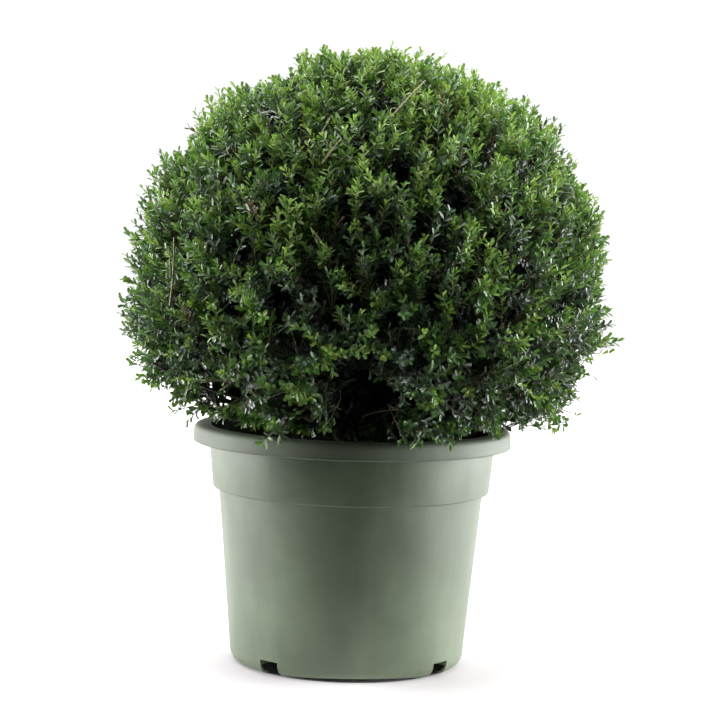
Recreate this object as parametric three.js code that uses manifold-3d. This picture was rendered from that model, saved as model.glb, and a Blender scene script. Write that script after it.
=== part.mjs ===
// A Japanese holly clipped to a ball, in its nursery pot: the pot, the soil in it, a short trunk
// with its boughs, the dense clipped ball of foliage and the looser skirts that hang below it.
// Millimetres, +Z up. The origin is the centre of the pot's flat underside, and the front is -Y.
import * as THREE from "three";
import { mergeVertices } from "three/addons/utils/BufferGeometryUtils.js";
import Module from "manifold-3d";

const wasm = await Module();
wasm.setup();

// Driving dimensions: the moulded pot
const POT_HEIGHT = 375;
const RIM_RADIUS = 251.5;
const RIM_DEPTH = 27;
const RIM_CREST_RADIUS = 244;
const RIM_ROUND = 6;
const RIM_BEAD = 2.2;
const BAND_TOP_RADIUS = 225.6;
const BAND_BOTTOM_RADIUS = 218.7;
const BAND_BOTTOM = 275.4;
const BAND_STEP = 10;
const STEP_SLOPE = 4;
const BASE_RADIUS = 185.5;
const BASE_CORNER = 20;
const POT_WALL = 3.5;
const POT_FLOOR = 5;
const NOTCH_WIDTH = 34.8;
const NOTCH_HEIGHT = 24;
const NOTCH_ANGLES = [-39.5, 52, 140.5, 232];
const POT_SIDES = 48;

// Driving dimensions: soil, trunk and boughs
const CLEARANCE = 0.3;
const SOIL_BELOW_CREST = 36;
const SOIL_MOUND = 9;
const SOIL_FLAT_RADIUS = 48;
const SOIL_LUMP = 3;
const TRUNK_HEIGHT = 50;
const TRUNK_RADIUS = 21;
const TRUNK_TIP_RADIUS = 17;
const TRUNK_LEAN = [7, -5];
const ROOT_FLARE = 0.75;
const HIGH_BOUGHS = 5;
const LOW_BOUGHS = 7;
const HIGH_BOUGH_RADIUS = 9;
const LOW_BOUGH_RADIUS = 7.6;
const BOUGH_TAPER = 0.7;
const LOW_BOUGH_FORK = 0.36;
const LOW_BOUGH_REACH = 150;
const LOW_BOUGH_RISE = 31;
const HIGH_BOUGH_FORK = 0.74;
const HIGH_BOUGH_REACH = 108;
const HIGH_BOUGH_RISE = 64;
const SKIRT_STEM = 82;

// Driving dimensions: the clipped crown, whose centre is at its widest level
const CROWN_CENTRE = new THREE.Vector3(14, 0, 580);
const CROWN_RADIUS = 392;
const CROWN_TOP = 404;
const CROWN_DROP = 210;
const CROWN_DROP_POWER = 3.2;
const SKIRT_LINE = 462;
const SKIRT_FLOOR = 368;
const SKIRT_ROOM = 2;
const SKIRT_SIDE_ROOM = 1.5;
const SKIRT_BOUGH_ROOM = 4;
const RIM_ROOM = 2;
const MOUTH_ROOM = 8;
const CORE_SHARE = 0.835;
const CORE_DROP = 165;
const CORE_RINGS = 14;
const CORE_SIDES = 26;
const CORE_LUMP = 0.022;
const CORE_ROOM = 3;
const LEADER_RADIUS = 14;
const LEADER_TAPER = 0.6;
const LEADER_BEND = 70;

// Driving dimensions: twigs and leaves, each leaf standing for a spray of small ones
const BALL_LIMBS = 48;
const BALL_TWIGS = 95;
const BALL_SIDE_LEAVES = 2;
const FORK_SHARE = 0.62;
const SKIRT_TWIGS = 7;
const SKIRT_SIDE_LEAVES = 3;
const TWIG_RADIUS = 4.2;
const TWIG_TIP_RADIUS = 3.4;
const LEAF_LENGTH = 52;
const LEAF_WIDTH = 36;
const LEAF_THICKNESS = 4;
const LEAF_ROOT = 1.2;
const TIP_SINK = 3;
const LEAF_WIDEST = 0.12;
const BALL_LEAF_PITCH = 58;
const SKIRT_LEAF_PITCH = 40;
const LEAF_SPACING = 0.05;
const TIP_TILT = 0.7;
const GOLDEN_ANGLE = Math.PI * (3 - Math.sqrt(5));
const GOLDEN_SHARE = (Math.sqrt(5) - 1) / 2;
const SEED = 20417;

// Finishes
const finish = (color, roughness) => new THREE.MeshStandardMaterial({ color, roughness, metalness: 0 });
const POT_FINISH = finish(0x6f7f68, 0.5);
const SOIL_FINISH = finish(0x241c15, 0.95);
const BARK_FINISH = finish(0x5a4a3a, 0.85);
const LEAF_FINISH = finish(0x33562a, 0.45);

// A seeded stream of even random numbers from 0 to 1
function randomStream(seed) {
  let state = seed >>> 0;
  return () => {
    state = (state + 0x6d2b79f5) >>> 0;
    let mixed = Math.imul(state ^ (state >>> 15), state | 1);
    mixed ^= mixed + Math.imul(mixed ^ (mixed >>> 7), mixed | 61);
    return ((mixed ^ (mixed >>> 14)) >>> 0) / 4294967296;
  };
}

// Closed geometry to a solid, and back to geometry
function toSolid(geometry) {
  const bare = geometry.clone();
  bare.deleteAttribute("normal");
  bare.deleteAttribute("uv");
  const merged = mergeVertices(bare, 1e-3);
  return new wasm.Manifold(
    new wasm.Mesh({
      numProp: 3,
      vertProperties: new Float32Array(merged.attributes.position.array),
      triVerts: new Uint32Array(merged.index.array),
    }),
  );
}

function toGeometry(solid) {
  const mesh = solid.getMesh();
  const geometry = new THREE.BufferGeometry();
  geometry.setAttribute("position", new THREE.BufferAttribute(mesh.vertProperties, 3));
  geometry.setIndex(new THREE.BufferAttribute(mesh.triVerts, 1));
  geometry.computeVertexNormals();
  return geometry;
}

// One body of a solid, with loose scraps dropped and sealed hollows filled
function largestBody(solid) {
  return solid.decompose().reduce((best, body) => (body.volume() > best.volume() ? body : best));
}

function named(name, geometry, material) {
  const mesh = new THREE.Mesh(geometry, material);
  mesh.name = name;
  return mesh;
}

// A closed profile of [radius, height] pairs turned about the pot's axis
function turned(profile) {
  const points = profile.map(([radius, height]) => new THREE.Vector2(radius, height));
  const geometry = new THREE.LatheGeometry(points, POT_SIDES);
  return geometry.rotateX(Math.PI / 2);
}

// A tapering limb along a curve. girth(share, angle) scales its radius, and grow adds to it all round.
function limb(curve, baseRadius, tipRadius, sides, steps, girth = () => 1, grow = 0) {
  const geometry = new THREE.CylinderGeometry(tipRadius, baseRadius, 1, sides, steps);
  const frames = curve.computeFrenetFrames(steps, false);
  const places = geometry.attributes.position;
  const place = new THREE.Vector3();
  for (let i = 0; i < places.count; i += 1) {
    const across = places.getX(i);
    const aside = places.getZ(i);
    const share = places.getY(i) + 0.5;
    const step = Math.round(share * steps);
    const radius = Math.hypot(across, aside);
    const swell = radius > 0 ? girth(share, Math.atan2(aside, across)) + grow / radius : 1;
    place.copy(curve.getPointAt(share));
    place.addScaledVector(frames.tangents[step], share === 0 ? -grow : share === 1 ? grow : 0);
    place.addScaledVector(frames.binormals[step], across * swell);
    place.addScaledVector(frames.normals[step], aside * swell);
    places.setXYZ(i, place.x, place.y, place.z);
  }
  return geometry;
}

// Pot: flat base with a round corner, tapering body, stepped band and a rolled rim with an open skirt
const RIM_SKIRT = POT_HEIGHT - RIM_DEPTH;
const BODY_TOP_RADIUS = BAND_BOTTOM_RADIUS - BAND_STEP;
const BODY_TOP = BAND_BOTTOM - STEP_SLOPE;
const SOIL_EDGE = POT_HEIGHT - SOIL_BELOW_CREST;

function potSection() {
  const arc = (centre, height, radius, from, to, steps) =>
    Array.from({ length: steps + 1 }, (_, i) => {
      const angle = THREE.MathUtils.degToRad(from + ((to - from) * i) / steps);
      return [centre + radius * Math.cos(angle), height + radius * Math.sin(angle)];
    });
  const crestHeight = POT_HEIGHT - RIM_ROUND;
  const channelTop = POT_HEIGHT - POT_WALL * 2;
  const innerBand = BAND_TOP_RADIUS - POT_WALL;
  return [
    [0, 0],
    ...arc(BASE_RADIUS - BASE_CORNER, BASE_CORNER, BASE_CORNER, -90, -8, 3),
    [BODY_TOP_RADIUS, BODY_TOP],
    [BODY_TOP_RADIUS + BAND_STEP * 0.75, BODY_TOP + STEP_SLOPE * 0.35],
    [BAND_BOTTOM_RADIUS, BAND_BOTTOM],
    [BAND_TOP_RADIUS, RIM_SKIRT],
    [BAND_TOP_RADIUS, channelTop],
    [RIM_CREST_RADIUS - POT_WALL, channelTop],
    [RIM_RADIUS - RIM_BEAD - POT_WALL * 0.6, RIM_SKIRT],
    [RIM_RADIUS - RIM_BEAD * 0.4, RIM_SKIRT],
    [RIM_RADIUS, RIM_SKIRT + RIM_BEAD * 0.8],
    [RIM_RADIUS - RIM_BEAD * 0.6, RIM_SKIRT + RIM_BEAD * 2],
    ...arc(RIM_CREST_RADIUS - RIM_ROUND, crestHeight, RIM_ROUND, 12, 90, 3),
    ...arc(innerBand + RIM_ROUND, crestHeight, RIM_ROUND, 90, 180, 2),
    [innerBand - (BAND_TOP_RADIUS - BAND_BOTTOM_RADIUS), BAND_BOTTOM + POT_WALL],
    [BODY_TOP_RADIUS - POT_WALL, BODY_TOP + POT_WALL],
    [BASE_RADIUS - POT_WALL, BASE_CORNER],
    [BASE_RADIUS - BASE_CORNER, POT_FLOOR],
    [0, POT_FLOOR],
  ];
}

// Drainage notches in the edge of the base, and the room that the soil leaves round them
function notches(grow = 0) {
  const blocks = NOTCH_ANGLES.map((degrees) => {
    const depth = BASE_CORNER * 2 + grow * 2;
    const block = new THREE.BoxGeometry(NOTCH_WIDTH + grow * 2, depth, (NOTCH_HEIGHT + grow) * 2);
    block.translate(0, -BASE_RADIUS, 0);
    return toSolid(block.rotateZ(THREE.MathUtils.degToRad(degrees)));
  });
  return wasm.Manifold.union(blocks);
}

function pot() {
  const shell = toSolid(turned(potSection())).subtract(notches());
  return named("pot", toGeometry(largestBody(shell)), POT_FINISH);
}

// Soil: fills the pot to below the rim, with a low uneven mound that is level under the trunk
const SOIL_CENTRE = SOIL_EDGE + SOIL_MOUND;

function soil() {
  const inset = POT_WALL + CLEARANCE;
  const up = (SOIL_EDGE - BAND_BOTTOM) / (POT_HEIGHT - RIM_ROUND - BAND_BOTTOM);
  const edge = THREE.MathUtils.lerp(BAND_BOTTOM_RADIUS, BAND_TOP_RADIUS, up) - inset - 1;
  const geometry = turned([
    [0, POT_FLOOR + CLEARANCE],
    [BASE_RADIUS - BASE_CORNER - CLEARANCE, POT_FLOOR + CLEARANCE],
    [BASE_RADIUS - inset, BASE_CORNER + CLEARANCE],
    [BODY_TOP_RADIUS - inset, BODY_TOP + inset],
    [BAND_BOTTOM_RADIUS - inset - 1, BAND_BOTTOM + inset],
    [edge, SOIL_EDGE],
    [edge * 0.64, SOIL_EDGE + SOIL_MOUND * 0.6],
    [SOIL_FLAT_RADIUS, SOIL_CENTRE],
    [0, SOIL_CENTRE],
  ]);
  const places = geometry.attributes.position;
  for (let i = 0; i < places.count; i += 1) {
    const radius = Math.hypot(places.getX(i), places.getY(i));
    const loose = radius > SOIL_FLAT_RADIUS + 1 && radius < edge - 1 && places.getZ(i) > SOIL_EDGE;
    const turn = Math.atan2(places.getY(i), places.getX(i));
    const lump = Math.sin(turn * 5 + radius * 0.11) * Math.cos(turn * 8 - radius * 0.07);
    if (loose) places.setZ(i, places.getZ(i) + SOIL_LUMP * lump);
  }
  const solid = toSolid(geometry).subtract(notches(CLEARANCE));
  return named("soil", toGeometry(largestBody(solid)), SOIL_FINISH);
}

// Trunk: from a flat cut on the soil, with root flare, taper and a slight lean, to its fork
const TRUNK_FOOT = SOIL_CENTRE + CLEARANCE;
const TRUNK_TOP = new THREE.Vector3(TRUNK_LEAN[0], TRUNK_LEAN[1], TRUNK_FOOT + TRUNK_HEIGHT);
const TRUNK_LINE = new THREE.QuadraticBezierCurve3(
  new THREE.Vector3(0, 0, TRUNK_FOOT),
  new THREE.Vector3(0, 0, TRUNK_FOOT + TRUNK_HEIGHT * 0.5),
  TRUNK_TOP,
);

function trunkGeometry(grow = 0) {
  const flare = (share, angle) => {
    const lobes = 0.7 + 0.3 * Math.cos(3 * angle + 0.8);
    return 1 + ROOT_FLARE * lobes * Math.exp(-share * 7) + 0.03 * Math.cos(2 * angle + share * 4);
  };
  return limb(TRUNK_LINE, TRUNK_RADIUS, TRUNK_TIP_RADIUS, 12, 6, flare, grow);
}

// Crown outline: how far the clipped surface lies from the crown's centre, along a direction
function outlineAlong(direction, drop = CROWN_DROP) {
  const level = Math.hypot(direction.x, direction.y) / CROWN_RADIUS;
  if (direction.z >= 0) return 1 / Math.hypot(level, direction.z / CROWN_TOP);
  const fall = Math.pow(level, CROWN_DROP_POWER) + Math.pow(-direction.z / drop, CROWN_DROP_POWER);
  return Math.pow(fall, -1 / CROWN_DROP_POWER);
}

function crownPoint(direction, share) {
  return CROWN_CENTRE.clone().addScaledVector(direction, outlineAlong(direction) * share);
}

// How far the clipped surface lies from the crown's axis, at a height below its widest level
function outlineReach(height) {
  const fall = Math.pow((CROWN_CENTRE.z - height) / CROWN_DROP, CROWN_DROP_POWER);
  return CROWN_RADIUS * Math.pow(1 - fall, 1 / CROWN_DROP_POWER);
}

function insideCrown(point, low, high) {
  const offset = point.clone().sub(CROWN_CENTRE);
  const distance = offset.length();
  return point.z > low && point.z < high && distance < outlineAlong(offset.divideScalar(distance)) * 1.002;
}

// Core: the dense dark heart of the clipped ball, a smaller crown with a shallow underside
function coreReach(direction) {
  const swirl = Math.sin(13 * direction.x + 3) * Math.cos(11 * direction.y - 2);
  const ripple = 0.5 * (swirl + Math.sin(14 * direction.z + 5 * direction.x));
  return outlineAlong(direction, CORE_DROP / CORE_SHARE) * CORE_SHARE * (1 + CORE_LUMP * ripple);
}

function coreGeometry(grow = 0) {
  const geometry = new THREE.SphereGeometry(1, CORE_SIDES, CORE_RINGS).rotateX(Math.PI / 2);
  const places = geometry.attributes.position;
  const direction = new THREE.Vector3();
  for (let i = 0; i < places.count; i += 1) {
    direction.fromBufferAttribute(places, i).normalize();
    direction.multiplyScalar(coreReach(direction) + grow).add(CROWN_CENTRE);
    places.setXYZ(i, direction.x, direction.y, direction.z);
  }
  return geometry;
}

function insideCore(point) {
  const offset = point.clone().sub(CROWN_CENTRE);
  const distance = offset.length();
  return distance < coreReach(offset.divideScalar(distance)) + CORE_ROOM;
}

// Leader: the stem of the ball, which carries the trunk on into the core
function leaderGeometry(grow = 0) {
  const onward = TRUNK_LINE.getTangentAt(1);
  const foot = TRUNK_TOP.clone().addScaledVector(onward, CLEARANCE);
  const bend = foot.clone().addScaledVector(onward, LEADER_BEND);
  const line = new THREE.QuadraticBezierCurve3(foot, bend, CROWN_CENTRE);
  return limb(line, LEADER_RADIUS, LEADER_RADIUS * LEADER_TAPER, 8, 3, () => 1, grow);
}

// Twig: a three-sided tapering stick from one point to another
function twig(from, to, baseRadius, tipRadius) {
  const along = to.clone().sub(from);
  const geometry = new THREE.CylinderGeometry(tipRadius, baseRadius, along.length(), 3);
  const upright = new THREE.Vector3(0, 1, 0);
  geometry.applyQuaternion(new THREE.Quaternion().setFromUnitVectors(upright, along.clone().normalize()));
  const middle = from.clone().addScaledVector(along, 0.5);
  return geometry.translate(middle.x, middle.y, middle.z);
}

// Leaf: an eight-faced blade, widest past its middle, whose root starts at a point and is sunk behind it
function leaf(root, direction, facing, size) {
  const length = LEAF_LENGTH * size + LEAF_ROOT;
  const geometry = new THREE.OctahedronGeometry(1);
  const places = geometry.attributes.position;
  for (let i = 0; i < places.count; i += 1) {
    const side = Math.abs(places.getY(i));
    const forward = (places.getX(i) + side * LEAF_WIDEST * 2 + 1) * 0.5;
    places.setXYZ(
      i,
      forward * length - LEAF_ROOT,
      places.getY(i) * LEAF_WIDTH * size * 0.5,
      places.getZ(i) * LEAF_THICKNESS * 0.5,
    );
  }
  const ahead = direction.clone().normalize();
  const aside = new THREE.Vector3().crossVectors(facing, ahead).normalize();
  const up = new THREE.Vector3().crossVectors(ahead, aside);
  geometry.applyMatrix4(new THREE.Matrix4().makeBasis(ahead, aside, up));
  return geometry.translate(root.x, root.y, root.z);
}

function staysIn(geometry, allowed) {
  const places = geometry.attributes.position;
  const point = new THREE.Vector3();
  for (let i = 0; i < places.count; i += 1) {
    if (!allowed(point.fromBufferAttribute(places, i))) return false;
  }
  return true;
}

function nearest(point, places) {
  return places.reduce((best, place) => (place.distanceTo(point) < best.distanceTo(point) ? place : best));
}

// One mass: a twig or leaf that would leave its space is skipped, and so is a leaf that would touch
// another leaf or a twig not its own
function massOf(name, allowed, stems, sideLeaves, leafPitch) {
  const blades = [];
  const sticks = stems.map((geometry) => ({ solid: toSolid(geometry) }));
  const touches = (solid, other) => !solid.intersect(other.solid).isEmpty();
  const addTwig = (from, tip) => {
    const shape = twig(from, tip, TWIG_RADIUS, TWIG_TIP_RADIUS);
    if (!staysIn(shape, allowed)) return null;
    const stick = { solid: toSolid(shape) };
    sticks.push(stick);
    return stick;
  };
  const addLeaf = (stick, root, direction, facing, size) => {
    const blade = leaf(root, direction, facing, size);
    if (!staysIn(blade, allowed)) return;
    const solid = toSolid(blade);
    const near = blades.filter((other) => other.root.distanceTo(root) < LEAF_LENGTH * 2.2);
    if (!near.some((other) => touches(solid, other))) blades.push({ root, solid, stick });
  };
  const fused = () => {
    const free = ({ solid, stick }) => !sticks.some((other) => other !== stick && touches(solid, other));
    const parts = [...sticks, ...blades.filter(free)].map((part) => part.solid);
    return named(name, toGeometry(largestBody(wasm.Manifold.union(parts))), LEAF_FINISH);
  };
  return { addTwig, addLeaf, fused, sideLeaves, leafPitch };
}

// One twig and its leaves: the tip leaf goes on to the end point, the others turn by the golden angle
function leafyTwig(mass, forks, end, outward, turn, random) {
  const size = 0.9 + 0.2 * random();
  const tilt = new THREE.Vector3(random() - 0.5, random() - 0.5, random() - 0.5).multiplyScalar(TIP_TILT);
  const aim = outward.clone().add(tilt).normalize();
  const tip = end.clone().addScaledVector(aim, -LEAF_LENGTH * size);
  const from = nearest(tip, forks);
  const stick = mass.addTwig(from, tip);
  if (!stick) return;
  const across = new THREE.Vector3().crossVectors(aim, new THREE.Vector3(0.31, 0.17, 0.94)).normalize();
  const sunk = tip.clone().addScaledVector(aim, -TIP_SINK);
  mass.addLeaf(stick, sunk, aim, across.clone().applyAxisAngle(aim, turn), size);
  const pitch = THREE.MathUtils.degToRad(mass.leafPitch);
  for (let i = 1; i <= mass.sideLeaves; i += 1) {
    const spoke = across.clone().applyAxisAngle(aim, turn + i * GOLDEN_ANGLE);
    const root = tip.clone().lerp(from, LEAF_SPACING * i);
    const lean = aim.clone().multiplyScalar(Math.cos(pitch)).addScaledVector(spoke, Math.sin(pitch));
    mass.addLeaf(stick, root, lean, aim, 0.8 + 0.25 * random());
  }
}

// Ball: leader, core, and twigs whose tips are spread over the outline by the golden angle
function ball() {
  const random = randomStream(SEED);
  const allowed = (point) => insideCrown(point, SKIRT_LINE + SKIRT_ROOM, Infinity);
  const stems = [coreGeometry(), leaderGeometry()];
  const mass = massOf("foliage_ball", allowed, stems, BALL_SIDE_LEAVES, BALL_LEAF_PITCH);
  const lowest = (SKIRT_LINE + 20 - CROWN_CENTRE.z) / CROWN_RADIUS;
  const heading = (index, count) => {
    const rise = lowest + ((1 - lowest) * (index + 0.5)) / count;
    const level = Math.sqrt(1 - rise * rise);
    const turn = index * GOLDEN_ANGLE + SEED;
    return new THREE.Vector3(level * Math.cos(turn), level * Math.sin(turn), rise);
  };
  const forks = Array.from({ length: BALL_LIMBS }, (_, i) => crownPoint(heading(i, BALL_LIMBS), FORK_SHARE));
  for (let i = 0; i < BALL_TWIGS; i += 1) {
    const outward = heading(i, BALL_TWIGS);
    const end = crownPoint(outward, 1 - 0.01 * random());
    leafyTwig(mass, forks, end, outward, i * GOLDEN_ANGLE, random);
  }
  return mass.fused();
}

// Boughs: a point out from the crown's axis, at a turn from the front and a height
function around(turn, reach, height) {
  return new THREE.Vector3(CROWN_CENTRE.x + reach * Math.sin(turn), -reach * Math.cos(turn), height);
}

const lowTurn = (index) => ((index + 0.5) / LOW_BOUGHS) * Math.PI * 2 + 0.1;
const highTurn = (index) => (index / HIGH_BOUGHS) * Math.PI * 2 + 0.35;

function lowBoughLine(index) {
  const turn = lowTurn(index);
  const rise = 4 * Math.sin(index * 2.4);
  const start = TRUNK_LINE.getPointAt(LOW_BOUGH_FORK);
  return new THREE.CatmullRomCurve3([
    start,
    around(turn, LOW_BOUGH_REACH * 0.37, start.z + LOW_BOUGH_RISE * 0.3),
    around(turn, LOW_BOUGH_REACH * 0.7, start.z + LOW_BOUGH_RISE * 0.77 + rise),
    around(turn, LOW_BOUGH_REACH, start.z + LOW_BOUGH_RISE + rise),
  ]);
}

function highBoughLine(index) {
  const turn = highTurn(index);
  const start = TRUNK_LINE.getPointAt(HIGH_BOUGH_FORK);
  return new THREE.CatmullRomCurve3([
    start,
    around(turn, HIGH_BOUGH_REACH * 0.43, start.z + HIGH_BOUGH_RISE * 0.19),
    around(turn, HIGH_BOUGH_REACH * 0.78, start.z + HIGH_BOUGH_RISE * 0.44),
    around(turn, HIGH_BOUGH_REACH, start.z + HIGH_BOUGH_RISE),
  ]);
}

function bough(name, line, radius, obstacles) {
  const whole = toSolid(limb(line, radius, radius * BOUGH_TAPER, 6, 6));
  const cut = obstacles.reduce((solid, obstacle) => solid.subtract(obstacle), whole);
  return named(name, toGeometry(largestBody(cut)), BARK_FINISH);
}

// Skirt: a loose mass on a low bough, its twigs spread by the golden share over its piece of the outline
function skirt(index) {
  const random = randomStream(SEED + index + 1);
  const turn = lowTurn(index);
  const halfTurn = Math.PI / LOW_BOUGHS;
  const line = lowBoughLine(index);
  const foot = line.getPointAt(1);
  const ahead = line.getTangentAt(1);
  const own = (point) => {
    const offset = Math.atan2(point.x - CROWN_CENTRE.x, -point.y) - turn;
    const apart = Math.abs(Math.atan2(Math.sin(offset), Math.cos(offset)));
    const reach = Math.hypot(point.x - CROWN_CENTRE.x, point.y);
    return (halfTurn - apart) * reach > SKIRT_SIDE_ROOM && reach > LOW_BOUGH_REACH + SKIRT_BOUGH_ROOM;
  };
  const inPot = (point) => Math.hypot(point.x, point.y) < BAND_BOTTOM_RADIUS - MOUTH_ROOM;
  const overRim = (point) => point.z > POT_HEIGHT + RIM_ROOM || inPot(point);
  const inSpace = (point) => insideCrown(point, SKIRT_FLOOR, SKIRT_LINE - SKIRT_ROOM) && !insideCore(point);
  const allowed = (point) => own(point) && overRim(point) && inSpace(point);
  const stem = new THREE.CatmullRomCurve3([
    foot.clone().addScaledVector(ahead, CLEARANCE),
    foot.clone().addScaledVector(ahead, SKIRT_STEM * 0.3),
    around(turn, LOW_BOUGH_REACH + SKIRT_STEM, foot.z + 2),
  ]);
  const stems = [limb(stem, LOW_BOUGH_RADIUS * BOUGH_TAPER, TWIG_RADIUS + 0.8, 6, 3)];
  const name = `foliage_skirt_${index + 1}`;
  const mass = massOf(name, allowed, stems, SKIRT_SIDE_LEAVES, SKIRT_LEAF_PITCH);
  const forkShare = (i) => 0.4 + (0.58 * i) / (SKIRT_TWIGS - 1);
  const forks = Array.from({ length: SKIRT_TWIGS }, (_, i) => stem.getPointAt(forkShare(i)));
  for (let i = 0; i < SKIRT_TWIGS; i += 1) {
    const aside = ((i * GOLDEN_SHARE + 0.3) % 1) * 2 - 1;
    const down = (i + 0.5) / SKIRT_TWIGS;
    const height = THREE.MathUtils.lerp(SKIRT_LINE - 26, SKIRT_FLOOR + 14, down);
    const aimed = turn + aside * halfTurn * 0.8;
    const heading = new THREE.Vector3(Math.sin(aimed), -Math.cos(aimed), 0);
    const end = around(aimed, outlineReach(height) * (0.99 - 0.03 * random()), height);
    leafyTwig(mass, forks, end, heading, i * GOLDEN_ANGLE, random);
  }
  return mass.fused();
}

// The whole plant in its pot
const plant = new THREE.Group();
plant.add(pot(), soil(), named("trunk", trunkGeometry(), BARK_FINISH), ball());

const trunkRoom = toSolid(trunkGeometry(CLEARANCE));
const ballRoom = toSolid(coreGeometry(CLEARANCE * 1.6)).add(toSolid(leaderGeometry(CLEARANCE)));
for (let i = 0; i < HIGH_BOUGHS; i += 1) {
  plant.add(bough(`bough_high_${i + 1}`, highBoughLine(i), HIGH_BOUGH_RADIUS, [trunkRoom, ballRoom]));
}
for (let i = 0; i < LOW_BOUGHS; i += 1) {
  plant.add(bough(`bough_low_${i + 1}`, lowBoughLine(i), LOW_BOUGH_RADIUS, [trunkRoom]));
  plant.add(skirt(i));
}

export default plant;
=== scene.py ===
"""A Japanese holly clipped to a ball, in its nursery pot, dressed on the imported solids."""

import math
from functools import lru_cache

import bmesh
import bpy
import numpy as np
from bpy.props import FloatProperty, FloatVectorProperty, IntProperty, PointerProperty
from mathutils import Matrix, Vector, kdtree, noise


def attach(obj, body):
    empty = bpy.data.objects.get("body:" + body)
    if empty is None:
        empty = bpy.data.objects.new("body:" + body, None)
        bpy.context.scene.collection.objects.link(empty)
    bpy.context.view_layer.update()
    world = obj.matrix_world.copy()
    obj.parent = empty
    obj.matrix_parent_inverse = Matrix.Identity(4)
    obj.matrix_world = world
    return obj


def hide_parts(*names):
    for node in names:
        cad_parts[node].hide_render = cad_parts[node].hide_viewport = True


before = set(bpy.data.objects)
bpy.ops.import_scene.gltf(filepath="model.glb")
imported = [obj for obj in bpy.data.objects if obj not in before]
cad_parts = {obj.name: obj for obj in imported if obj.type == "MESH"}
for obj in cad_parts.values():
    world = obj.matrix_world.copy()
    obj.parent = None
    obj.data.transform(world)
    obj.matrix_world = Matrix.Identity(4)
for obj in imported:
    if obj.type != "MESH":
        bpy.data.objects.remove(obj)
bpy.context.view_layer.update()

bl_info = {
    "name": "Potted Japanese Holly Ball",
    "version": (1, 0, 0),
    "blender": (4, 5, 0),
    "location": "3D View > Sidebar > Holly",
    "description": "Builds a Japanese holly clipped to a ball in its nursery pot",
    "category": "Object",
}

GOLDEN_ANGLE = math.pi * (3.0 - math.sqrt(5.0))
FRAME_PIXELS = 720
SENSOR_MM = 36.0

# Lowest direction in which the crown grows, as the sine of its slope
LOWEST = -0.93

# How far out each tier of the crown grows, as a part of the way to its clipped surface
FORK_REACH = 0.62
BRANCHLET_REACH = 0.74
TWIG_REACH = 0.84
SHOOT_REACH = 1.014

# A slanted direction to square the sides of stems against
SLANT = np.array([0.31, 0.17, 0.94])

# Specular level of the leaves from the oldest tint to the youngest, then of the dry leaves
LEAF_SHEEN = (0.2, 0.62, 0.9, 0.9, 0.82, 0.64, 0.48, 0.35, 0.28, 0.24, 0.2)

# Openings of the crown as the front shows them: middle, half sizes, how far back, and the part taken out
OPENINGS = {
    "front cave": (0.020, 0.394, 0.046, 0.064, -0.185, 0.93),
    "left slit, high": (-0.222, 0.427, 0.014, 0.0060, 0.45, 0.97),
    "left slit, middle": (-0.196, 0.422, 0.015, 0.0055, 0.45, 0.97),
    "left slit, low": (-0.210, 0.406, 0.012, 0.0065, 0.45, 0.97),
    "left slit, right": (-0.188, 0.411, 0.010, 0.0055, 0.45, 0.97),
    "left slit, inner": (-0.122, 0.408, 0.013, 0.0075, 0.45, 0.95),
    "left thin": (-0.235, 0.420, 0.080, 0.022, -0.02, 0.35),
    "low left bite": (-0.305, 0.392, 0.052, 0.022, 0.45, 0.88),
    "low left bite, outer": (-0.345, 0.412, 0.030, 0.018, 0.45, 0.85),
    "right slit": (0.251, 0.383, 0.011, 0.0065, 0.45, 0.95),
    "low right bite": (0.402, 0.445, 0.042, 0.062, 0.45, 0.90),
    "upper left bite": (-0.170, 0.942, 0.062, 0.034, 0.45, 0.90),
    "upper left dent": (-0.290, 0.815, 0.022, 0.018, 0.45, 0.90),
    "top": (0.020, 1.010, 0.300, 0.036, 0.45, 0.90),
    "upper right bite": (0.238, 0.935, 0.030, 0.020, 0.45, 0.85),
}

# Sprays that stand out on the front: where they start and end (right, up, back), their shoots and their age
SPRAYS = {
    "low left tuft": ((-0.205, 0.410, -0.02), (-0.246, 0.400, -0.05), 9, 0.45),
    "low left stray": ((-0.225, 0.442, -0.05), (-0.266, 0.432, -0.08), 7, 0.55),
    "left shelf": ((-0.252, 0.472, -0.05), (-0.312, 0.452, -0.08), 11, 0.58),
    "left shelf, under": ((-0.222, 0.448, -0.06), (-0.262, 0.426, -0.08), 10, 0.50),
    "left shelf, back": ((-0.250, 0.460, 0.04), (-0.306, 0.446, 0.03), 9, 0.50),
    "over the rim, left": ((-0.112, 0.392, -0.21), (-0.124, 0.362, -0.262), 4, 0.46),
    "over the rim, middle": ((0.092, 0.395, -0.20), (0.100, 0.368, -0.258), 8, 0.40),
    "beside the cave": ((0.120, 0.395, -0.20), (0.150, 0.372, -0.235), 8, 0.42),
    "over the rim, right": ((0.200, 0.395, -0.12), (0.222, 0.386, -0.145), 4, 0.42),
    "right bough": ((0.225, 0.372, -0.06), (0.278, 0.390, -0.07), 3, 0.45),
    "right tuft": ((0.225, 0.425, -0.08), (0.295, 0.418, -0.09), 9, 0.50),
    "low right tuft": ((0.235, 0.432, -0.06), (0.312, 0.402, -0.08), 10, 0.56),
    "low right stray": ((0.250, 0.425, 0.02), (0.325, 0.412, 0.00), 9, 0.50),
    "far right stray": ((0.300, 0.452, -0.04), (0.356, 0.476, -0.06), 3, 0.50),
    "behind the pocket": ((-0.100, 0.500, 0.24), (-0.056, 0.494, 0.27), 12, 0.30),
    "fresh spray": ((-0.066, 0.398, -0.20), (-0.074, 0.424, -0.270), 9, 0.82),
}

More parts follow.
